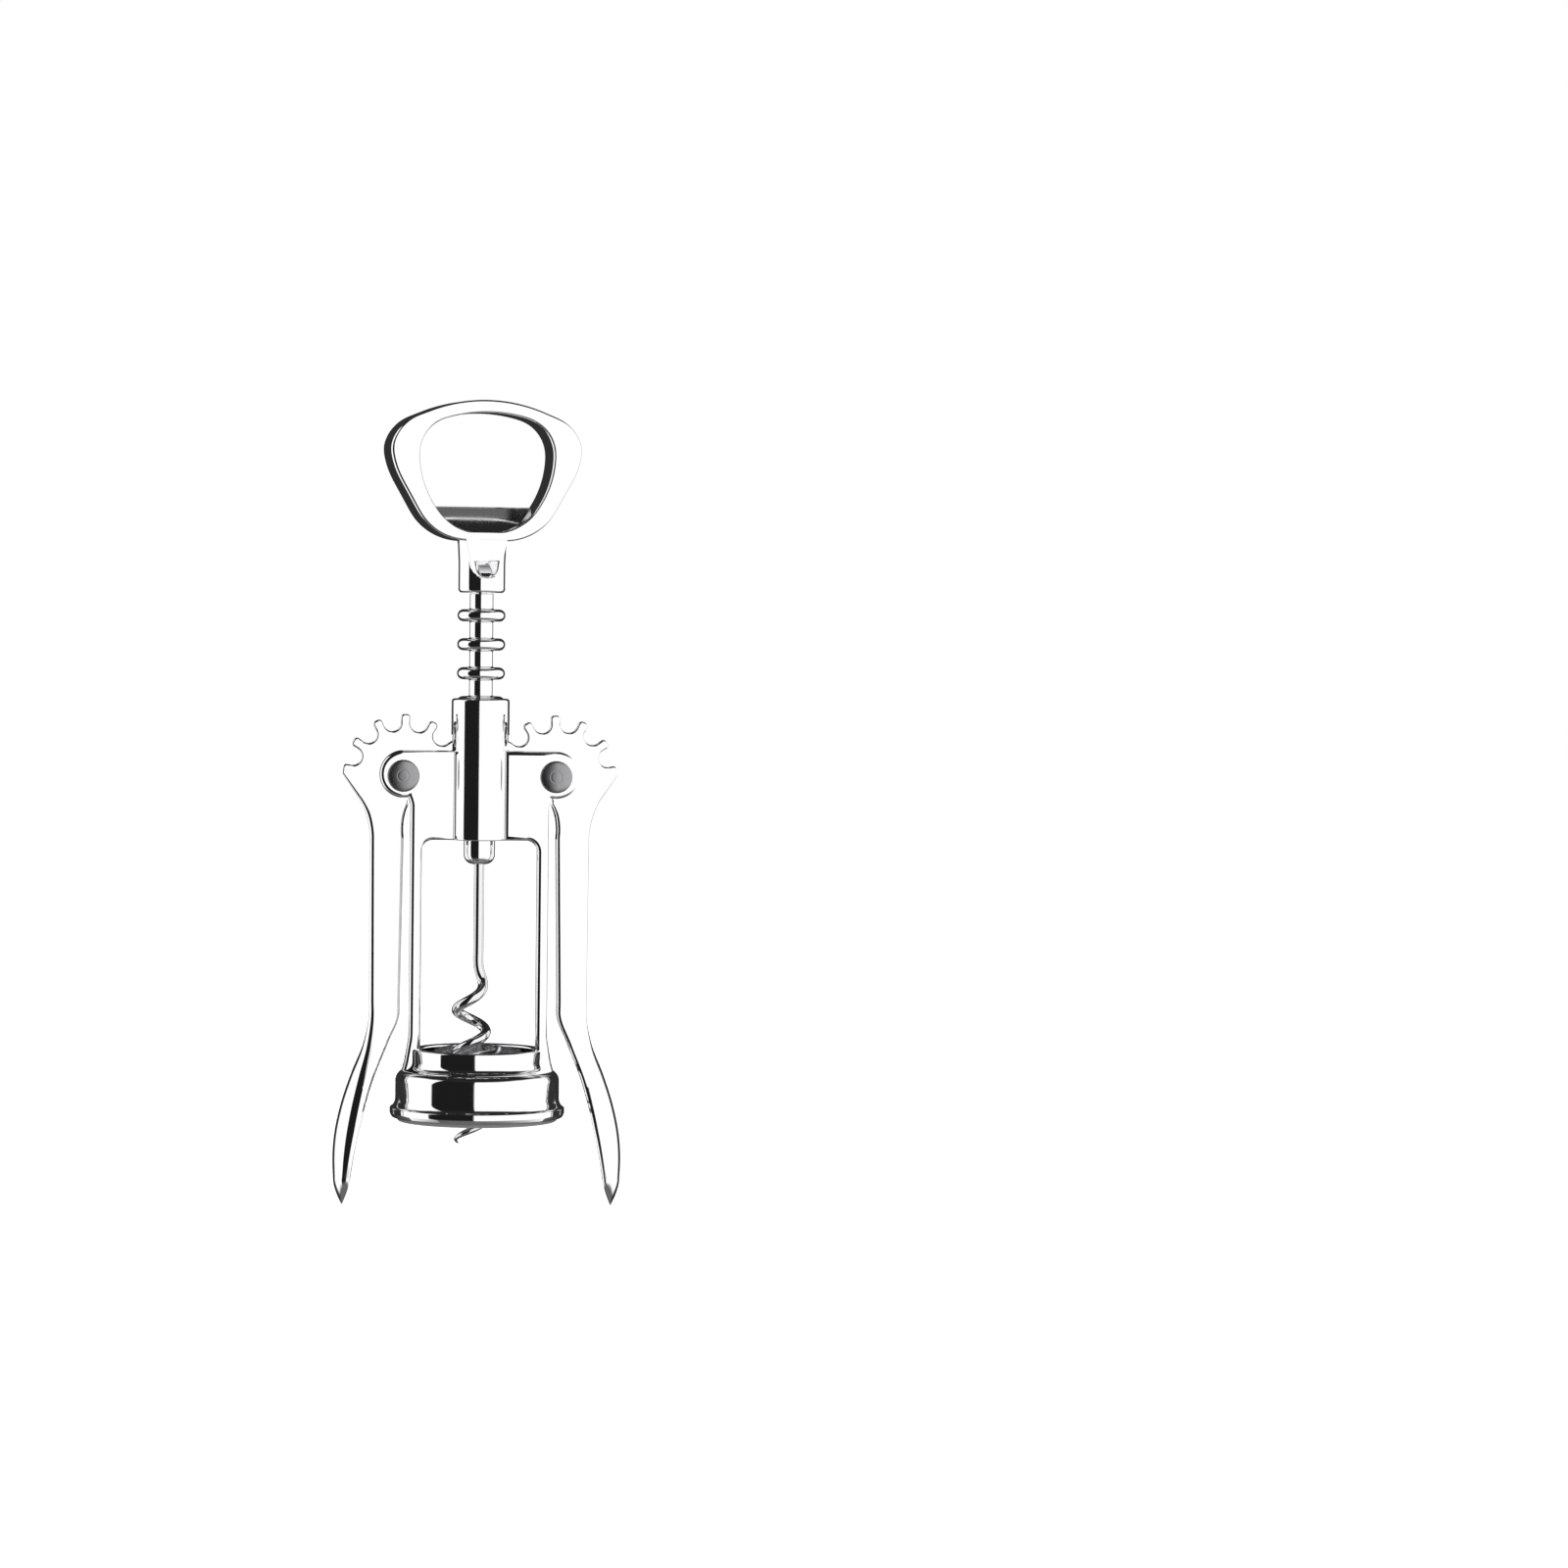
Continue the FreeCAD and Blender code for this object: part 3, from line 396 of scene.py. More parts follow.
# The bell turned about the axis. Its shoulder is a round and a fillet that run into each other:
# with their radii's sum s and the step's width w, its height is the root of s^2 - (s - w)^2.
def bellShape(c):
    lip, total = c["beadHeight"] + c["lip"], c["fillet"] + c["round"]
    step = c["bellRadius"] - c["neckRadius"]
    drop = math.sqrt(total ** 2 - (total - step) ** 2)
    high = c["shoulder"] + drop / 2
    turned = math.degrees(math.acos(1 - step / total))
    flareRadius = (c["flare"] ** 2 + c["flareHeight"] ** 2) / (2 * c["flare"])
    flareTurn = math.degrees(math.asin(c["flareHeight"] / flareRadius))
    bead = softCorners([
        (c["insideRadius"], 0), (c["beadRadius"] - c["beadInset"], 0), (c["beadRadius"], c["beadFoot"]),
        (c["beadRadius"], c["beadHeight"]), (c["bellRadius"] + c["flare"], lip)], [0.2, 0.5, 0.6, 0.35, 0], 8)
    flareCentre = (c["bellRadius"] + flareRadius, lip + c["flareHeight"])
    flare = arc(flareCentre, flareRadius, 180 + flareTurn, 180, 10)
    shoulder = np.concatenate([
        arc((c["bellRadius"] - c["round"], high - drop), c["round"], 0, turned, 22),
        arc((c["neckRadius"] + c["fillet"], high), c["fillet"], 180 + turned, 180, 18)[1:]])
    rim = softCorners([
        (c["neckRadius"], high), (c["neckRadius"], c["top"]), (c["mouthRadius"], c["top"]),
        (c["mouthRadius"], c["roof"]), (c["insideRadius"], c["roof"])], [0, 0.55, 0.55, 0.3, 0.3], 8)
    return lathe(np.concatenate([bead, flare[1:], shoulder, rim[1:]]), 220)


# The right half of the fork: a front and a back plate with the leg, and the web between them.
def forkHalf(c):
    side, slot = c["depth"] / 2, c["slot"] / 2
    inner, outer, out = c["legInside"], c["legOutside"], pivotOut
    foot, lobeHeight = c["roof"] + c["embed"], c["forkTop"] - c["lobe"]
    leg = [(inner, foot), (outer + c["footFlare"], foot)]
    leg += [(outer + beyond, height) for beyond, height in c["footCurve"]]
    window = [(c["plateEnd"], c["forkBottom"]), (inner, c["forkBottom"])]
    lobe = arc((out, lobeHeight), c["lobe"], c["lobeStart"], 90, 40)
    full = np.concatenate([
        softCorners([*window, *leg, (outer, lobe[0, 1] - 1.6), (outer + 0.35, lobe[0, 1] - 0.35)],
                    [0, c["windowCorner"], *c["footRounds"], 2, 0], 8),
        lobe, [(c["plateEnd"], c["forkTop"])]])
    clear = c["gearClear"]
    low = pivotHeight - math.sqrt(clear ** 2 - (out - outer) ** 2)
    start = math.degrees(math.atan2(low - pivotHeight, outer - out))
    high = pivotHeight - math.sqrt(clear ** 2 - (out - c["plateEnd"]) ** 2)
    end = math.degrees(math.atan2(high - pivotHeight, c["plateEnd"] - out))
    web = np.concatenate([
        softCorners([*window, *leg], [0, c["windowCorner"], *c["footRounds"]], 8),
        arc((out, pivotHeight), clear, start, end, 24)])
    full, web = thinned(full), thinned(web)
    return joined(plate(full, -side, -slot, c["edge"], 0), plate(full, slot, side, 0, c["edge"]),
                  plate(web, -slot, slot, 0, 0))


# The points of a line that lie at least a small step from the one before.
def thinned(points, least=0.02):
    step = np.linalg.norm(points - np.roll(points, 1, 0), axis=1)
    return points[step > least]


# The barrel: a whole tube below and above the gears' slots, and two half shells between.
def barrelShape(c):
    outer, bore, slot = c["barrelRadius"], c["boreRadius"], c["slot"] / 2
    reach = math.sqrt(c["gearClear"] ** 2 - (pivotOut - outer + c["slotMargin"]) ** 2)
    low, high = pivotHeight - reach, pivotHeight + reach
    boreRound, footRound, topRound = c["barrelRounds"]
    bottomTube = lathe(softCorners([(bore, c["forkBottom"]), (outer, c["forkBottom"]), (outer, low),
                                    (bore, low)], [boreRound, footRound, 0, 0]), 128)
    topTube = lathe(softCorners([(bore, high), (outer, high), (outer, c["barrelTop"]),
                                 (bore, c["barrelTop"])], [0, 0, topRound, boreRound], 8), 128)
    a, b = (math.degrees(math.asin(slot / r)) for r in (outer, bore))
    shell = np.concatenate([arc((0, 0), outer, a, 180 - a, 60), arc((0, 0), bore, 180 - b, b, 60)])
    points, faces = plate(shell, low, high, 0, 0)
    points = points[:, [0, 2, 1]]
    return joined(bottomTube, topTube, (points, faces), (points * [1, -1, 1], faces))


# A shape on the other side: x becomes minus x.
def mirrored(shape):
    points, faces = shape
    return points * np.array([-1, 1, 1]), faces


right = forkHalf(casting)
addMesh("frameCasting", joined(bellShape(casting), right, mirrored(right), barrelShape(casting)),
        "frame", "frame_casting", chromePlate, flat=True)

liner = {
    "hole": 15.8, "lip": 18.4, "sleeve": 17.0, "drop": 0.9, "lipHeight": 0.6, "top": 7.7, "flange": 1.4,
    "flangeHole": 13.6, "rounds": (0.5, 0.5, 0.15, 0.1, 0.3, 0.3, 0.3, 0.2),
}


# The liner turned about the axis: a lip under the bell's rim, a sleeve, and a flange at the top.
def linerShape(c):
    low, seat = -c["drop"], c["top"] - c["flange"]
    return lathe(softCorners([
        (c["hole"], low), (c["lip"], low), (c["lip"], c["lipHeight"]), (c["sleeve"], c["lipHeight"]),
        (c["sleeve"], c["top"]), (c["flangeHole"], c["top"]), (c["flangeHole"], seat), (c["hole"], seat),
    ], c["rounds"], 6), 200)


addMesh("bellLiner", linerShape(liner), "frame", "bell_liner", greyPlastic)
print("frame ready")


rivet = {
    "headRadius": 3.7, "headHeight": 1.0, "rim": 0.1, "pin": 2.0, "seat": 3.45, "ringRadius": 1.25,
    "ringDepth": 0.03, "ringWidth": 0.16, "axis": 0.001,
}


# Half a section turned about Y: a domed head at each end, a quarter of an ellipse over a low
# rim, with a shallow ring pressed into it.
def rivetShape(r, side):
    turn = np.radians(np.linspace(0, 90, 60))[1:]
    across = r["headRadius"] * np.sin(turn)
    dome = r["seat"] + r["rim"] + (r["headHeight"] - r["rim"]) * np.cos(turn)
    dome -= r["ringDepth"] * np.exp(-((across - r["ringRadius"]) / r["ringWidth"]) ** 2)
    top = np.concatenate([np.stack([across, dome], 1), [(r["headRadius"], r["seat"]), (r["pin"], r["seat"])]])
    profile = np.concatenate([top, (top * [1, -1])[::-1]])
    profile = np.concatenate([[(r["axis"], profile[0, 1])], profile, [(r["axis"], -profile[0, 1])]])
    return lathe(profile, 72, False, "y", (side * pivotOut, 0, pivotHeight))


for side, name in ((-1, "left"), (1, "right")):
    addMesh(name + "PivotRivet", rivetShape(rivet, side), "frame", name + "_pivot_rivet", rivetMetal,
            weld=0.01)


# Levers: toothed sector and bar as one plate, run on into the spoon paddle. The curves are the
# radii beside the bar's top.
lever = {
    "thickness": 3.3, "tip": 14.1, "root": 10.4, "gap": 2.05, "flare": 11.0, "phase": 3.3,
    "pitchRadius": 13.4, "ringPitch": 6.65, "teeth": 8, "tipRound": 0.8, "edge": 1.1, "toothEdge": 0.42,
    "joinHeight": 44.0, "barTop": 64.5, "barEnd": 24.6, "end": -21.0, "barOuter": 25.2,
    "barInner": 17.4, "taper": 0.6,
    "reach": 32.95, "halfWidth": 6.6, "rim": 2.6, "bulge": 3.2, "dish": 0.9, "hubWall": 4.8,
    "paddleEdge": 1.3, "point": 6.5, "thinning": 0.4, "outerCurve": 19.4, "innerCurve": 14.0,
    "flareOut": 2.2, "flareUp": 8.1, "pointPower": 1.6,
}
# paddle: share of the way down, then shares of reach, width, bulge and of the bar's thickness
paddleStations = [
    (-0.45, 0.00, 0.00, 0.00, 1.00), (-0.2, 0.00, 0.00, 0.00, 1.00), (0.00, 0.00, 0.00, 0.02, 1.00),
    (0.17, 0.16, 0.28, 0.22, 0.56), (0.32, 0.50, 0.66, 0.62, 0.28), (0.48, 0.80, 0.92, 0.92, 0.12),
    (0.64, 0.985, 1.00, 1.00, 0.04), (0.80, 1.02, 0.84, 0.80, 0.01), (0.92, 0.94, 0.42, 0.46, 0.00),
    (0.99, 0.80, -0.10, 0.10, -0.05),
]


# Outer and inner edge of the bar at a height, each a straight line that tapers downwards.
def barEdges(v, height):
    share = np.clip((v["barTop"] - height) / (v["barTop"] - v["barEnd"]), 0, 1)
    return v["barOuter"] - v["taper"] / 3 * share, v["barInner"] + v["taper"] * share


# Right lever from the bar's outer edge round the teeth to its inner edge, about the pivot.
# A gap between teeth is a circle opened outwards by two flared tangents; the gaps are turned
# copies of one, a tooth pitch apart.
def leverOutline(v):
    step = math.degrees(v["ringPitch"] / v["pitchRadius"])
    centre, flare = v["root"] + v["gap"], math.radians(v["flare"])
    bottom = arc((centre, 0), v["gap"], -90 - v["flare"], -270 + v["flare"], 18)
    start = np.array([centre - v["gap"] * math.sin(flare), -v["gap"] * math.cos(flare)])
    ahead = np.array([math.cos(flare), -math.sin(flare)])
    along = float(start @ ahead)
    far = start + ahead * (-along + math.sqrt(along ** 2 + v["tip"] ** 2 - start @ start))
    gap = np.concatenate([[far], bottom, [far * [1, -1]]])
    radii = np.array([v["tipRound"], *[0] * len(bottom), v["tipRound"]])
    turns = np.radians(180 - v["phase"] - step * (np.arange(v["teeth"] - 1)[::-1] - 0.5))[:, None]
    x = gap[:, 0] * np.cos(turns) - gap[:, 1] * np.sin(turns)
    y = gap[:, 0] * np.sin(turns) + gap[:, 1] * np.cos(turns)
    teeth = np.stack([x, y], 2).reshape(-1, 2)
    halfTooth = step / 2 - math.degrees(math.atan2(-far[1], far[0]))
    last = math.radians(180 - v["phase"] - (v["teeth"] - 2) * step - halfTooth)
    first = math.radians(180 - v["phase"] + step + halfTooth)
    join = np.array(barEdges(v, v["joinHeight"])) - pivotOut
    down = v["barTop"] - pivotHeight
    outer, inner = v["barOuter"] - pivotOut, v["barInner"] - pivotOut
    low = v["joinHeight"] - pivotHeight
    upEdge = arcChain([(join[0], low), (outer, down, v["outerCurve"], -1),
                       (outer + v["flareOut"], down + v["flareUp"])])
    upEdge = upEdge[: np.argmax(upEdge[:, 1]) + 1]
    downEdge = arcChain([(-0.45 * v["hubWall"], -v["hubWall"], v["innerCurve"], -1), (inner, down),
                         (join[1], low), (join[1], low - 1)])
    downEdge = downEdge[: np.argmin(np.abs(downEdge[:, 1] - low)) + 1]
    lastWay, firstWay = (np.array([math.cos(a), math.sin(a)]) for a in (last, first))
    corners = np.concatenate([upEdge, [v["tip"] * lastWay], teeth, [v["tip"] * firstWay],
                              [(v["root"] - 0.3) * firstWay], downEdge])
    rounds = np.concatenate([np.zeros(len(upEdge)), [v["tipRound"] * 0.6], np.tile(radii, v["teeth"] - 1),
                             [v["tipRound"]], [1.5], [1.5], np.zeros(len(downEdge) - 1)])
    line = softCorners(corners, rounds, 6)
    line[0], line[-1] = (join[0], low), (join[1], low)
    return line + np.array([pivotOut, pivotHeight])


# The plate part, then rings of the paddle. A ring is the plate's own edge rows, with its rounding
# scaled up on the spoon: on the outer side x falls by the bulge times the square of the share
# across, on the inner side x rises by the dish times one minus that square.
def leverShape(v):
    outline = leverOutline(v)
    keep = np.ones(len(outline), bool)  # without points that all but coincide
    keep[1:-1] = np.linalg.norm(outline[1:-1] - outline[:-2], axis=1) > 0.02
    outline = outline[keep]
    half, straight = v["thickness"] / 2, 10
    fromPivot = np.linalg.norm(outline - [pivotOut, pivotHeight], axis=1)
    onTeeth = np.clip((outline[:, 1] - pivotHeight + 9) / 6, 0, 1) * (fromPivot > v["root"] - 4)
    edge = v["edge"] + (v["toothEdge"] - v["edge"]) * onTeeth
    points, faces = plate(outline, -half, half, edge, edge, closed=False, straight=straight)
    rows = np.concatenate(edgeRows(v["thickness"], v["edge"], v["edge"], straight), 1)
    drop = v["barEnd"] - v["end"]
    places = np.array(paddleStations)
    height = np.concatenate([np.linspace(v["joinHeight"], v["barEnd"], 12, endpoint=False),
                             np.linspace(v["barEnd"], v["end"] + v["point"] + 0.45, 110)])
    down = (v["barEnd"] - height) / drop
    outward, wide, bulging, bulk = (through(down, places[:, 0], places[:, n])[:, None] for n in (1, 2, 3, 4))
    bulging = np.maximum(bulging, 0)
    outerBar, innerBar = (edge[:, None] for edge in barEdges(v, height))
    outer = outerBar + outward * (v["reach"] - outerBar)
    width = half + wide * (v["halfWidth"] - half)
    leastRim = v["rim"] * (1 - v["thinning"] * np.clip((down[:, None] - 0.6) / 0.4, 0, 1))
    rim = leastRim + bulk * (outerBar - innerBar - leastRim)
    grown = v["edge"] + np.clip(wide, 0, 1) * (v["paddleEdge"] - v["edge"])
    scale = np.minimum(grown, 0.47 * rim) / v["edge"]
    off = rows[None, :, 0] - half
    fromFace = half - np.abs(off)
    onRim = width - fromFace * scale
    between = (width - v["edge"] * scale) * np.abs(off) / (half - v["edge"])
    y = np.sign(off) * np.where(fromFace < v["edge"], onRim, between)
    q = y / width
    bulge = bulging * v["bulge"]
    dish = bulging * (1 - np.clip(bulk, 0, 1)) * v["dish"]
    rounding = rows[None, :, 1] * scale
    xOut = outer - rounding - bulge * q ** 2
    xIn = outer - bulge - rim + rounding + dish * (1 - q ** 2)
    x = np.concatenate([xOut, xIn[:, ::-1]], 1)
    y = np.concatenate([y, y[:, ::-1]], 1)
    z = np.broadcast_to(height[:, None], x.shape)
    rings = np.stack([x, y, z], 2)
    # the point: each ring is the last one, shrunk by one minus a power of the share of the way
    share = np.linspace(0.06, 0.99, 14)[:, None, None]
    centre, lean = rings[-1].mean(0), (rings[-1] - rings[-4]).mean(0)
    way = lean / -lean[2] * v["point"]
    shrunk = (rings[-1] - centre) * (1 - share ** v["pointPower"])
    rings = np.concatenate([rings, centre + way * share + shrunk])
    columns = rings.shape[1]
    count = len(rings)
    paddle = rings.reshape(-1, 3)
    end = list(range((count - 1) * columns, count * columns))
    paddleFaces = gridFaces(count, columns, False, True) + [end]
    # the plate's end is open where the paddle's first ring meets it, and the seam is welded
    return joined((points, faces), (paddle, paddleFaces))


rightLever = leverShape(lever)
addMesh("rightLever", rightLever, "right_arm", "right_lever", chromePlate, weld=0.03, flat=True)
addMesh("leftLever", mirrored(rightLever), "left_arm", "left_lever", chromePlate,
        weld=0.03, flat=True)
print("levers ready")


rack = {"core": 2.7, "bore": 1.4, "ring": 5.5, "half": 1.4, "pitch": 6.65, "count": 8, "topRing": 115.4,
        "top": 120.4, "end": 66.0, "rootFillet": 0.35, "fullness": 0.985}


# The sleeve turned about the axis; ring n is n pitches below the top one, with a round rim.
def rackShape(r):
    corners, radii = [(r["bore"], r["end"]), (r["core"], r["end"])], [0, 0.3]
    for n in range(r["count"] - 1, -1, -1):
        middle = r["topRing"] - n * r["pitch"]
        corners += [(r["core"], middle - r["half"]), (r["ring"], middle - r["half"]),
                    (r["ring"], middle + r["half"]), (r["core"], middle + r["half"])]
        radii += [r["rootFillet"], *[r["half"] * r["fullness"]] * 2, r["rootFillet"]]
    corners += [(r["core"], r["top"]), (r["bore"], r["top"])]
    return lathe(softCorners(corners, radii + [0.2, 0], 9), 112)


addMesh("rackSleeve", rackShape(rack), "rack", "rack_sleeve", chromePlate)

worm = {"wire": 1.2, "top": 131.0, "start": 39.0, "pitch": 10.0, "radius": 3.35, "offset": 1.5, "tip": -6.4,
        "ground": 9.0, "point": 0.12, "runOut": 14.4}


# A straight rod, then x = spread times (radius times cosine of the angle minus the offset) and
# y = spread times radius times sine; the angle's rate grows evenly over the run-out, in which
# spread goes smoothly from 0 to 1, and is then one turn for each pitch.
def wormShape(w):
    height = np.concatenate([np.linspace(w["top"], w["start"], 30, endpoint=False),
                             np.linspace(w["start"], w["tip"], 420)])
    below = np.maximum(0, w["start"] - height)
    share = np.minimum(1, below / w["runOut"])
    spread = share ** 2 * (3 - 2 * share)
    lag = np.where(below < w["runOut"], (w["runOut"] - below) ** 2 / (2 * w["runOut"]), 0)
    angle = np.pi + 2 * np.pi / w["pitch"] * (w["runOut"] - below - lag)
    path = np.stack([spread * (w["radius"] * np.cos(angle) - w["offset"]),
                     spread * w["radius"] * np.sin(angle), height], 1)
    left = np.clip((height - w["tip"]) / w["ground"], 0, 1)
    return pipe(path, w["point"] + (w["wire"] - w["point"]) * np.sin(left * np.pi / 2) ** 0.8, 28)


addMesh("wormRod", wormShape(worm), "spindle", "worm", wormMetal)

ferrule = {"radius": 3.6, "end": 58.2, "round": 2.2, "top": 65.85, "bore": 1.2, "edge": 0.3}
ferruleProfile = softCorners([
    (ferrule["bore"], ferrule["end"]), (ferrule["radius"], ferrule["end"]),
    (ferrule["radius"], ferrule["top"]), (ferrule["bore"], ferrule["top"]),
], [ferrule["edge"], ferrule["round"], ferrule["edge"], 0], 12)
addMesh("endFerrule", lathe(ferruleProfile, 96), "spindle", "ferrule", chromePlate)
print("rack and worm ready")


# Handle: loop, cap-lifter web, collar with its flat tongues and scoops.
handle = {
    "turn": 13.0, "thickness": 9.7, "edge": 0.8, "top": 164.7, "bottom": 132.4, "half": 22.5, "waist": 153.6,
    "side": 6.8, "crown": 3.0, "floor": 2.0, "webTop": 140.3, "webInset": 0.6, "webLip": 1.3, "webRun": 5.0,
    "collarRadius": 5.35, "collarBottom": 120.6, "collarEdge": 0.8, "tongueHalf": 4.95, "shoulder": 127.4,
    "shoulderHalf": 3.7, "tongueEnd": 123.9, "tongueSink": 0.04, "scoopHalf": 2.75, "scoopTop": 127.9,
    "scoopStraight": 1.3, "scoopDepth": 3.0, "scoopNarrow": 0.92, "scoopLeast": 0.12,
    "crownRadii": (36.1, 33.9), "loopPoints": 600, "loopEase": 5.8, "webSteps": 33, "webPoints": 160,
    "sides": 480, "levels": 125, "collarIntoLoop": 1.9, "sideSoft": 0.05, "scoopSoft": 0.06, "topSoft": 0.02,
}


# The loop's outer line and its opening's line, clockwise from the crown's left end.
def loopLines(h):
    outer = [(0.68 * h["half"], h["top"] - 3.4, 9.7, -1), (h["half"], h["waist"], 18.8, -1),
             (h["half"] - 2.9, h["waist"] - 8.4), (h["half"] - 7.0, h["bottom"] + 5.6, 13.8, -1),
             (h["collarRadius"], h["bottom"])]
    inside = h["half"] - h["side"]
    inner = [(0.6 * inside, h["top"] - h["crown"] - 1.3, 8.5, -1), (inside, h["waist"] - 1.1, 21.8, -1),
             (inside - 3.7, h["webTop"], 12.0, -1), (0.5, h["bottom"] + h["floor"])]
    lines = []
    for rightHalf, crownRadius in zip((outer, inner), h["crownRadii"]):
        leftHalf = [(-corner[0], corner[1], *(rightHalf[n - 1][2:] if n else ()))
                    for n, corner in reversed(list(enumerate(rightHalf)))]
        leftHalf[-1] = (*leftHalf[-1][:2], crownRadius, -1)
        line = evenly(arcChain(leftHalf[-1:] + rightHalf + leftHalf[:-1], 0.1), h["loopPoints"])
        lines.append(eased(line, h["loopEase"]))
    return lines


# The loop as a grid: along it, the outer and inner lines; around it, a rounded rectangle
# between them, whose corner radius stays under the bar's width.
def loopShape(h):
    outer, inner = loopLines(h)
    width = np.linalg.norm(outer - inner, axis=1)[:, None]
    radius = np.minimum(h["edge"], 0.42 * width)
    t = h["thickness"] / 2
    turn = np.radians(np.linspace(0, 90, 8))
    quarters = []
    for signX, signY, shift in ((1, 1, 0), (-1, 1, 90), (-1, -1, 180), (1, -1, 270)):
        a = turn + math.radians(shift)
        quarters.append((width / 2 + signX * (width / 2 - radius) + radius * np.cos(a),
                         signY * (t - radius) + radius * np.sin(a)))
    across = np.concatenate([q[0] for q in quarters], 1)
    y = np.concatenate([q[1] for q in quarters], 1)
    way = (outer - inner) / width
    x = inner[:, :1] + way[:, :1] * across
    z = inner[:, 1:] + way[:, 1:] * across
    return np.stack([x, y, z], 2).reshape(-1, 3), gridFaces(len(outer), across.shape[1], True, True)


# The cap lifter: a bar across the opening's foot whose section in YZ is a ramp, rising from
# the front to a narrow straight lip at the back, carried along X; its half length at a height
# follows the opening.
def webShape(h):
    back = h["thickness"] / 2 - h["webInset"]
    low, high = h["bottom"] + h["floor"] / 2, h["webTop"]
    lip = back - h["webLip"]
    section = softCorners([(-back, low), (back, low), (back, high), (lip, high),
                           (lip - h["webRun"], low + 0.6), (-back, low + 0.3)],
                          [0.1, 0.1, 0.35, 0.3, 0.3, 0.1], 5)
    section = evenly(section, h["webPoints"])
    inside = h["half"] - h["side"] - 3.2
    steps = h["webSteps"]
    share = np.linspace(-1, 1, steps)[:, None]
    reach = inside - 5 * (1 - (section[:, 1] - low) / (high - low))
    points = np.stack([share * reach, section[:, 0] + 0 * share, section[:, 1] + 0 * share], 2)
    count = len(section)
    faces = gridFaces(steps, count, False, True)
    ends = [list(range(count)), list(range((steps - 1) * count, steps * count))]
    return points.reshape(-1, 3), faces + ends


# 1 where a number is well below a limit and 0 well above it: 1 / (1 + e to the distance over soft).
def softBelow(number, limit, soft):
    return 1 / (1 + np.exp((number - limit) / soft))


# The collar as radius over (turn, height): a cylinder, except where a tongue's half width
# covers the direction, where it is the flat plane thickness / 2 in front of the axis; a scoop
# lowers that plane inside its half moon.
def collarShape(h):
    turn = np.linspace(0, 2 * np.pi, h["sides"], endpoint=False)[:, None]
    rimTop = h["collarBottom"] + h["collarEdge"]
    height = np.concatenate([
        h["collarBottom"] + h["collarEdge"] * (1 - np.cos(np.radians(np.linspace(0, 90, 8)))),
        np.linspace(rimTop, h["bottom"] + h["collarIntoLoop"], h["levels"])[1:]])[None]
    rounded = np.sqrt(np.maximum(0, h["collarEdge"] ** 2 - (rimTop - height) ** 2))
    body = np.where(height < rimTop, h["collarRadius"] - h["collarEdge"] + rounded, h["collarRadius"])
    body = body + 0.25 * np.clip((height - h["shoulder"]) / 5, 0, 1)
    below = np.clip((h["shoulder"] - height) / (h["shoulder"] - h["tongueEnd"]), 0, 1)
    above = (height - h["shoulder"]) / (h["bottom"] + 1 - h["shoulder"])
    half = np.where(height > h["shoulder"],
                    h["shoulderHalf"] + above * (h["tongueHalf"] - h["shoulderHalf"]),
                    h["shoulderHalf"] * np.sqrt(np.maximum(0, 1 - below ** 2)))
    half = np.where(height < h["tongueEnd"], 0, half)
    plane = h["thickness"] / 2 - h["tongueSink"]
    c, s = np.abs(np.cos(turn)), np.abs(np.sin(turn))
    flat = plane / np.maximum(c, 1e-3)
    x = flat * s
    inside = softBelow(x, half, h["sideSoft"])
    edge = np.maximum(body, np.minimum(flat, half / np.maximum(s, 1e-3)))
    narrow = h["scoopHalf"] * h["scoopNarrow"]
    bend = h["scoopTop"] - h["scoopStraight"]
    reachOut = np.where(height > bend,
                        narrow + (h["scoopHalf"] - narrow) * (height - bend) / h["scoopStraight"],
                        np.sqrt(np.maximum(0, narrow ** 2 - (bend - height) ** 2)))
    within = (softBelow(x, reachOut, h["scoopSoft"]) * softBelow(height, h["scoopTop"], h["topSoft"])
              * softBelow(bend - narrow, height, h["scoopSoft"]))
    upwards = np.clip(1 - (h["scoopTop"] - height) / (h["scoopTop"] - bend + narrow), 0, 1)
    depth = h["scoopDepth"] * (h["scoopLeast"] + (1 - h["scoopLeast"]) * upwards)
    flat = (plane - depth * within) / np.maximum(c, 1e-3)
    radius = np.where(half > 0.02, inside * flat + (1 - inside) * edge, body + 0 * turn)
    points = np.stack([radius * np.sin(turn), -radius * np.cos(turn), height + 0 * turn], 2)
    rows, columns = points.shape[:2]
    caps = [[n * columns for n in range(rows)], [n * columns + columns - 1 for n in range(rows)]]
    return points.reshape(-1, 3), gridFaces(rows, columns, True, False) + caps


# A shape turned about Z: x = x cos - y sin, y = x sin + y cos.
def turnedAbout(shape, degrees):
    points, faces = shape
    c, s = math.cos(math.radians(degrees)), math.sin(math.radians(degrees))
    return points @ np.array([[c, s, 0], [-s, c, 0], [0, 0, 1]]), faces


handleShape = joined(loopShape(handle), webShape(handle), collarShape(handle))
addMesh("ringHandle", turnedAbout(handleShape, handle["turn"]),
        "spindle", "handle", chromePlate, sharp=30, weld=0.0005, flat=True)

pin = {"radius": 0.9, "half": 5.15, "height": 123.4, "edge": 0.2, "axis": 0.001}
pinProfile = softCorners([
    (pin["axis"], -pin["half"]), (pin["radius"], -pin["half"]),
    (pin["radius"], pin["half"]), (pin["axis"], pin["half"])], [0, pin["edge"], pin["edge"], 0], 5)
pinPoints, pinFaces = lathe(pinProfile, 40, False)
pinPoints = pinPoints[:, [2, 1, 0]] + [0, 0, pin["height"]]
addMesh("handleCrossPin", turnedAbout((pinPoints, pinFaces), handle["turn"]),
        "spindle", "handle_cross_pin", rivetMetal, weld=0.01)
print("handle ready")


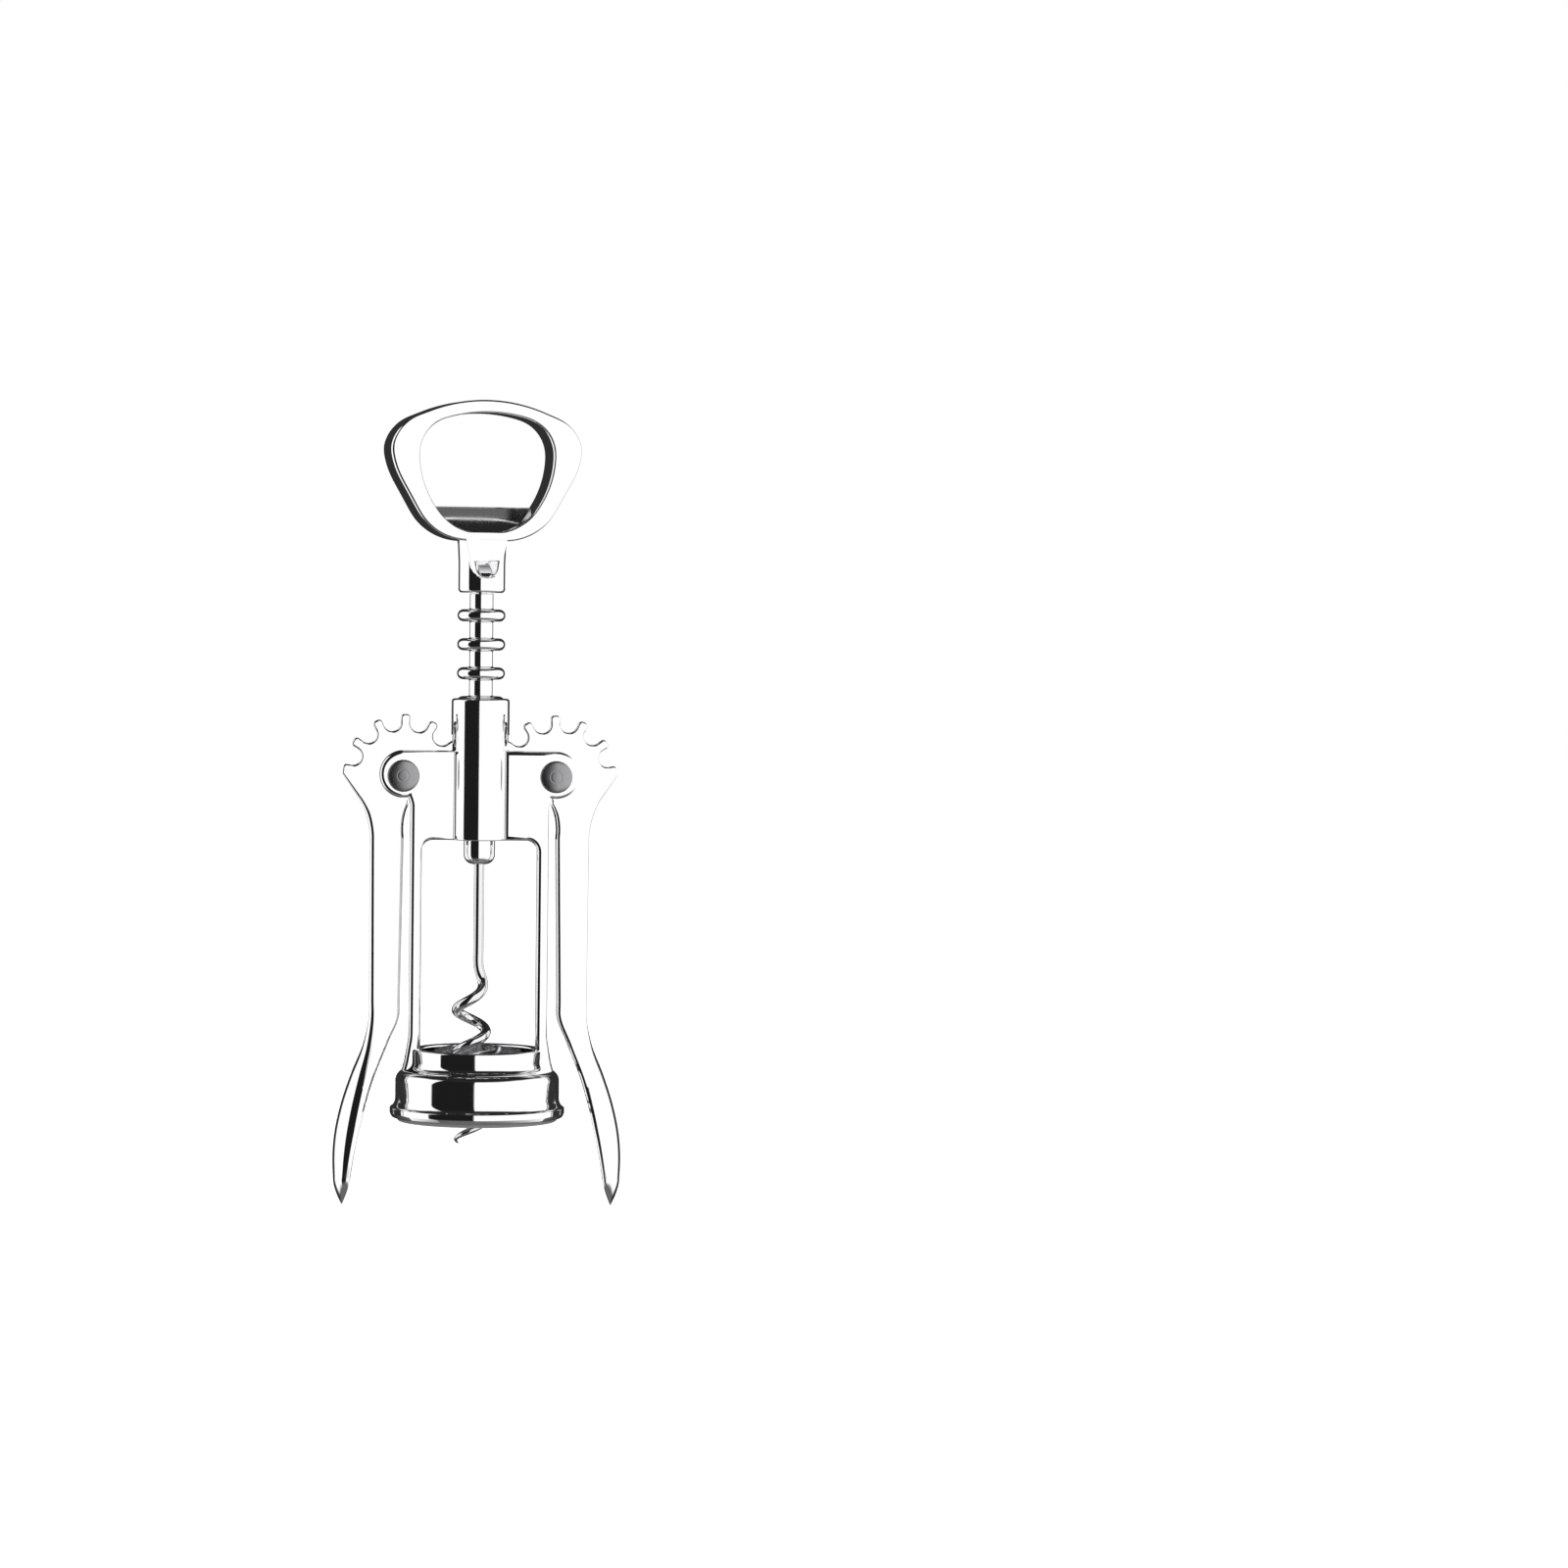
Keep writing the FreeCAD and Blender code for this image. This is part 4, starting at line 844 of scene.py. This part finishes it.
stage = {"floorDrop": 0.4, "floorSize": 6000, "tone": 0.94, "roughness": 0.6, "glow": 0.85}
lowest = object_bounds()[0][2] / mm - stage["floorDrop"]
floorMesh = bpy.data.meshes.new("floor")
reach = stage["floorSize"] * mm / 2
square = np.array([(-1, -1), (1, -1), (1, 1), (-1, 1)]) * reach
floorMesh.from_pydata([(x, y, lowest * mm) for x, y in square.tolist()], [], [(0, 1, 2, 3)])
floor = bpy.data.objects.new("floor", floorMesh)
bpy.context.scene.collection.objects.link(floor)
floor.visible_glossy = False
floorPaint, floorShader = newMaterial("floorPaint", 0.0, (stage["tone"],) * 3, stage["roughness"])
floorShader.inputs["Emission Color"].default_value = (1, 1, 1, 1)
floorShader.inputs["Emission Strength"].default_value = stage["glow"]
floorMesh.materials.append(floorPaint)

# Brightness of each part of the surroundings; then where each dark part lies and how softly it
# ends: degrees round (azimuth) and up, and for the one behind, shares of the direction.
studio = {
    "white": 1.12, "panel": 0.012, "behind": 0.03, "overhead": 0.02, "below": 0.14, "backdrop": 1.0,
    "panelAzimuth": (-67, -4, 1.5), "panelElevation": (-60, 62, 4), "behindStart": (-0.15, 0.05),
    "behindSide": (-0.68, 0.68, 0.06), "overheadStart": (44, 56), "belowElevation": (-100, -42, 16),
}


# The surroundings as a function of direction: white, with a black flag left of the front and
# dark ones behind and above; the camera itself sees plain white.
def studioWorld(look):
    world = bpy.data.worlds.new("studio")
    world.use_nodes = True
    tree = world.node_tree
    background = tree.nodes["Background"]

    def calc(operation, a, b=None):
        node = addNode(world, "ShaderNodeMath", {0: a} if b is None else {0: a, 1: b}, operation=operation)
        return node.outputs[0]

    # 0 below an interval and 1 above it, with a smooth rise between.
    def step(number, low, high):
        return addNode(world, "ShaderNodeMapRange", {"Value": number, "From Min": low, "From Max": high},
                       interpolation_type="SMOOTHSTEP").outputs["Result"]

    def between(number, low, high, soft):
        return calc("SUBTRACT", step(number, low - soft, low + soft), step(number, high - soft, high + soft))

    def mixed(amount, a, b):
        return addNode(world, "ShaderNodeMix", {0: amount, 2: a, 3: b}).outputs[0]

    direction = addNode(world, "ShaderNodeTexCoord").outputs["Generated"]
    x, y, z = addNode(world, "ShaderNodeSeparateXYZ", {0: direction}).outputs
    azimuth = calc("DEGREES", calc("ARCTAN2", x, calc("MULTIPLY", y, -1.0)))
    elevation = calc("DEGREES", calc("ARCSINE", z))
    panel = calc("MULTIPLY", between(azimuth, *look["panelAzimuth"]),
                 between(elevation, *look["panelElevation"]))
    behind = calc("MULTIPLY", step(y, *look["behindStart"]), between(x, *look["behindSide"]))
    light = mixed(panel, look["white"], look["panel"])
    light = mixed(behind, light, look["behind"])
    light = mixed(step(elevation, *look["overheadStart"]), light, look["overhead"])
    light = mixed(between(elevation, *look["belowElevation"]), light, look["below"])
    seen = addNode(world, "ShaderNodeLightPath").outputs["Is Camera Ray"]
    node = addNode(world, "ShaderNodeMix", {0: seen, 2: light, 3: look["backdrop"]})
    tree.links.new(node.outputs[0], background.inputs["Strength"])
    background.inputs["Color"].default_value = (1, 1, 1, 1)
    return world


scene = bpy.context.scene
scene.world = studioWorld(studio)
scene.view_settings.view_transform = "Standard"

lamp = {"power": 6.0, "size": 0.9, "place": (0.5, -0.7, 1.1), "lean": 35, "turn": 35}
lightData = bpy.data.lights.new("softbox", "AREA")
lightData.energy, lightData.size, lightData.shape = lamp["power"], lamp["size"], "DISK"
light = bpy.data.objects.new("softbox", lightData)
scene.collection.objects.link(light)
light.location = lamp["place"]
light.rotation_euler = (math.radians(lamp["lean"]), 0, math.radians(lamp["turn"]))
light.visible_glossy = False

view = {
    "distance": 1.2, "height": 0.122, "lens": 119.7, "sensor": 36.0, "pan": 3.34, "tilt": 2.13, "roll": 0.65,
}
cameraData = bpy.data.cameras.new("camera")
cameraData.lens, cameraData.sensor_width = view["lens"], view["sensor"]
camera = bpy.data.objects.new("camera", cameraData)
scene.collection.objects.link(camera)
camera.location = (0, -view["distance"], view["height"])
camera.rotation_mode = "QUATERNION"
turnRight = Quaternion((0, 0, 1), math.radians(-view["pan"]))
tiltDown = Quaternion((1, 0, 0), math.radians(90 - view["tilt"]))
roll = Quaternion((0, 0, 1), math.radians(view["roll"]))
camera.rotation_quaternion = turnRight @ tiltDown @ roll
scene.camera = camera
print("stage ready")
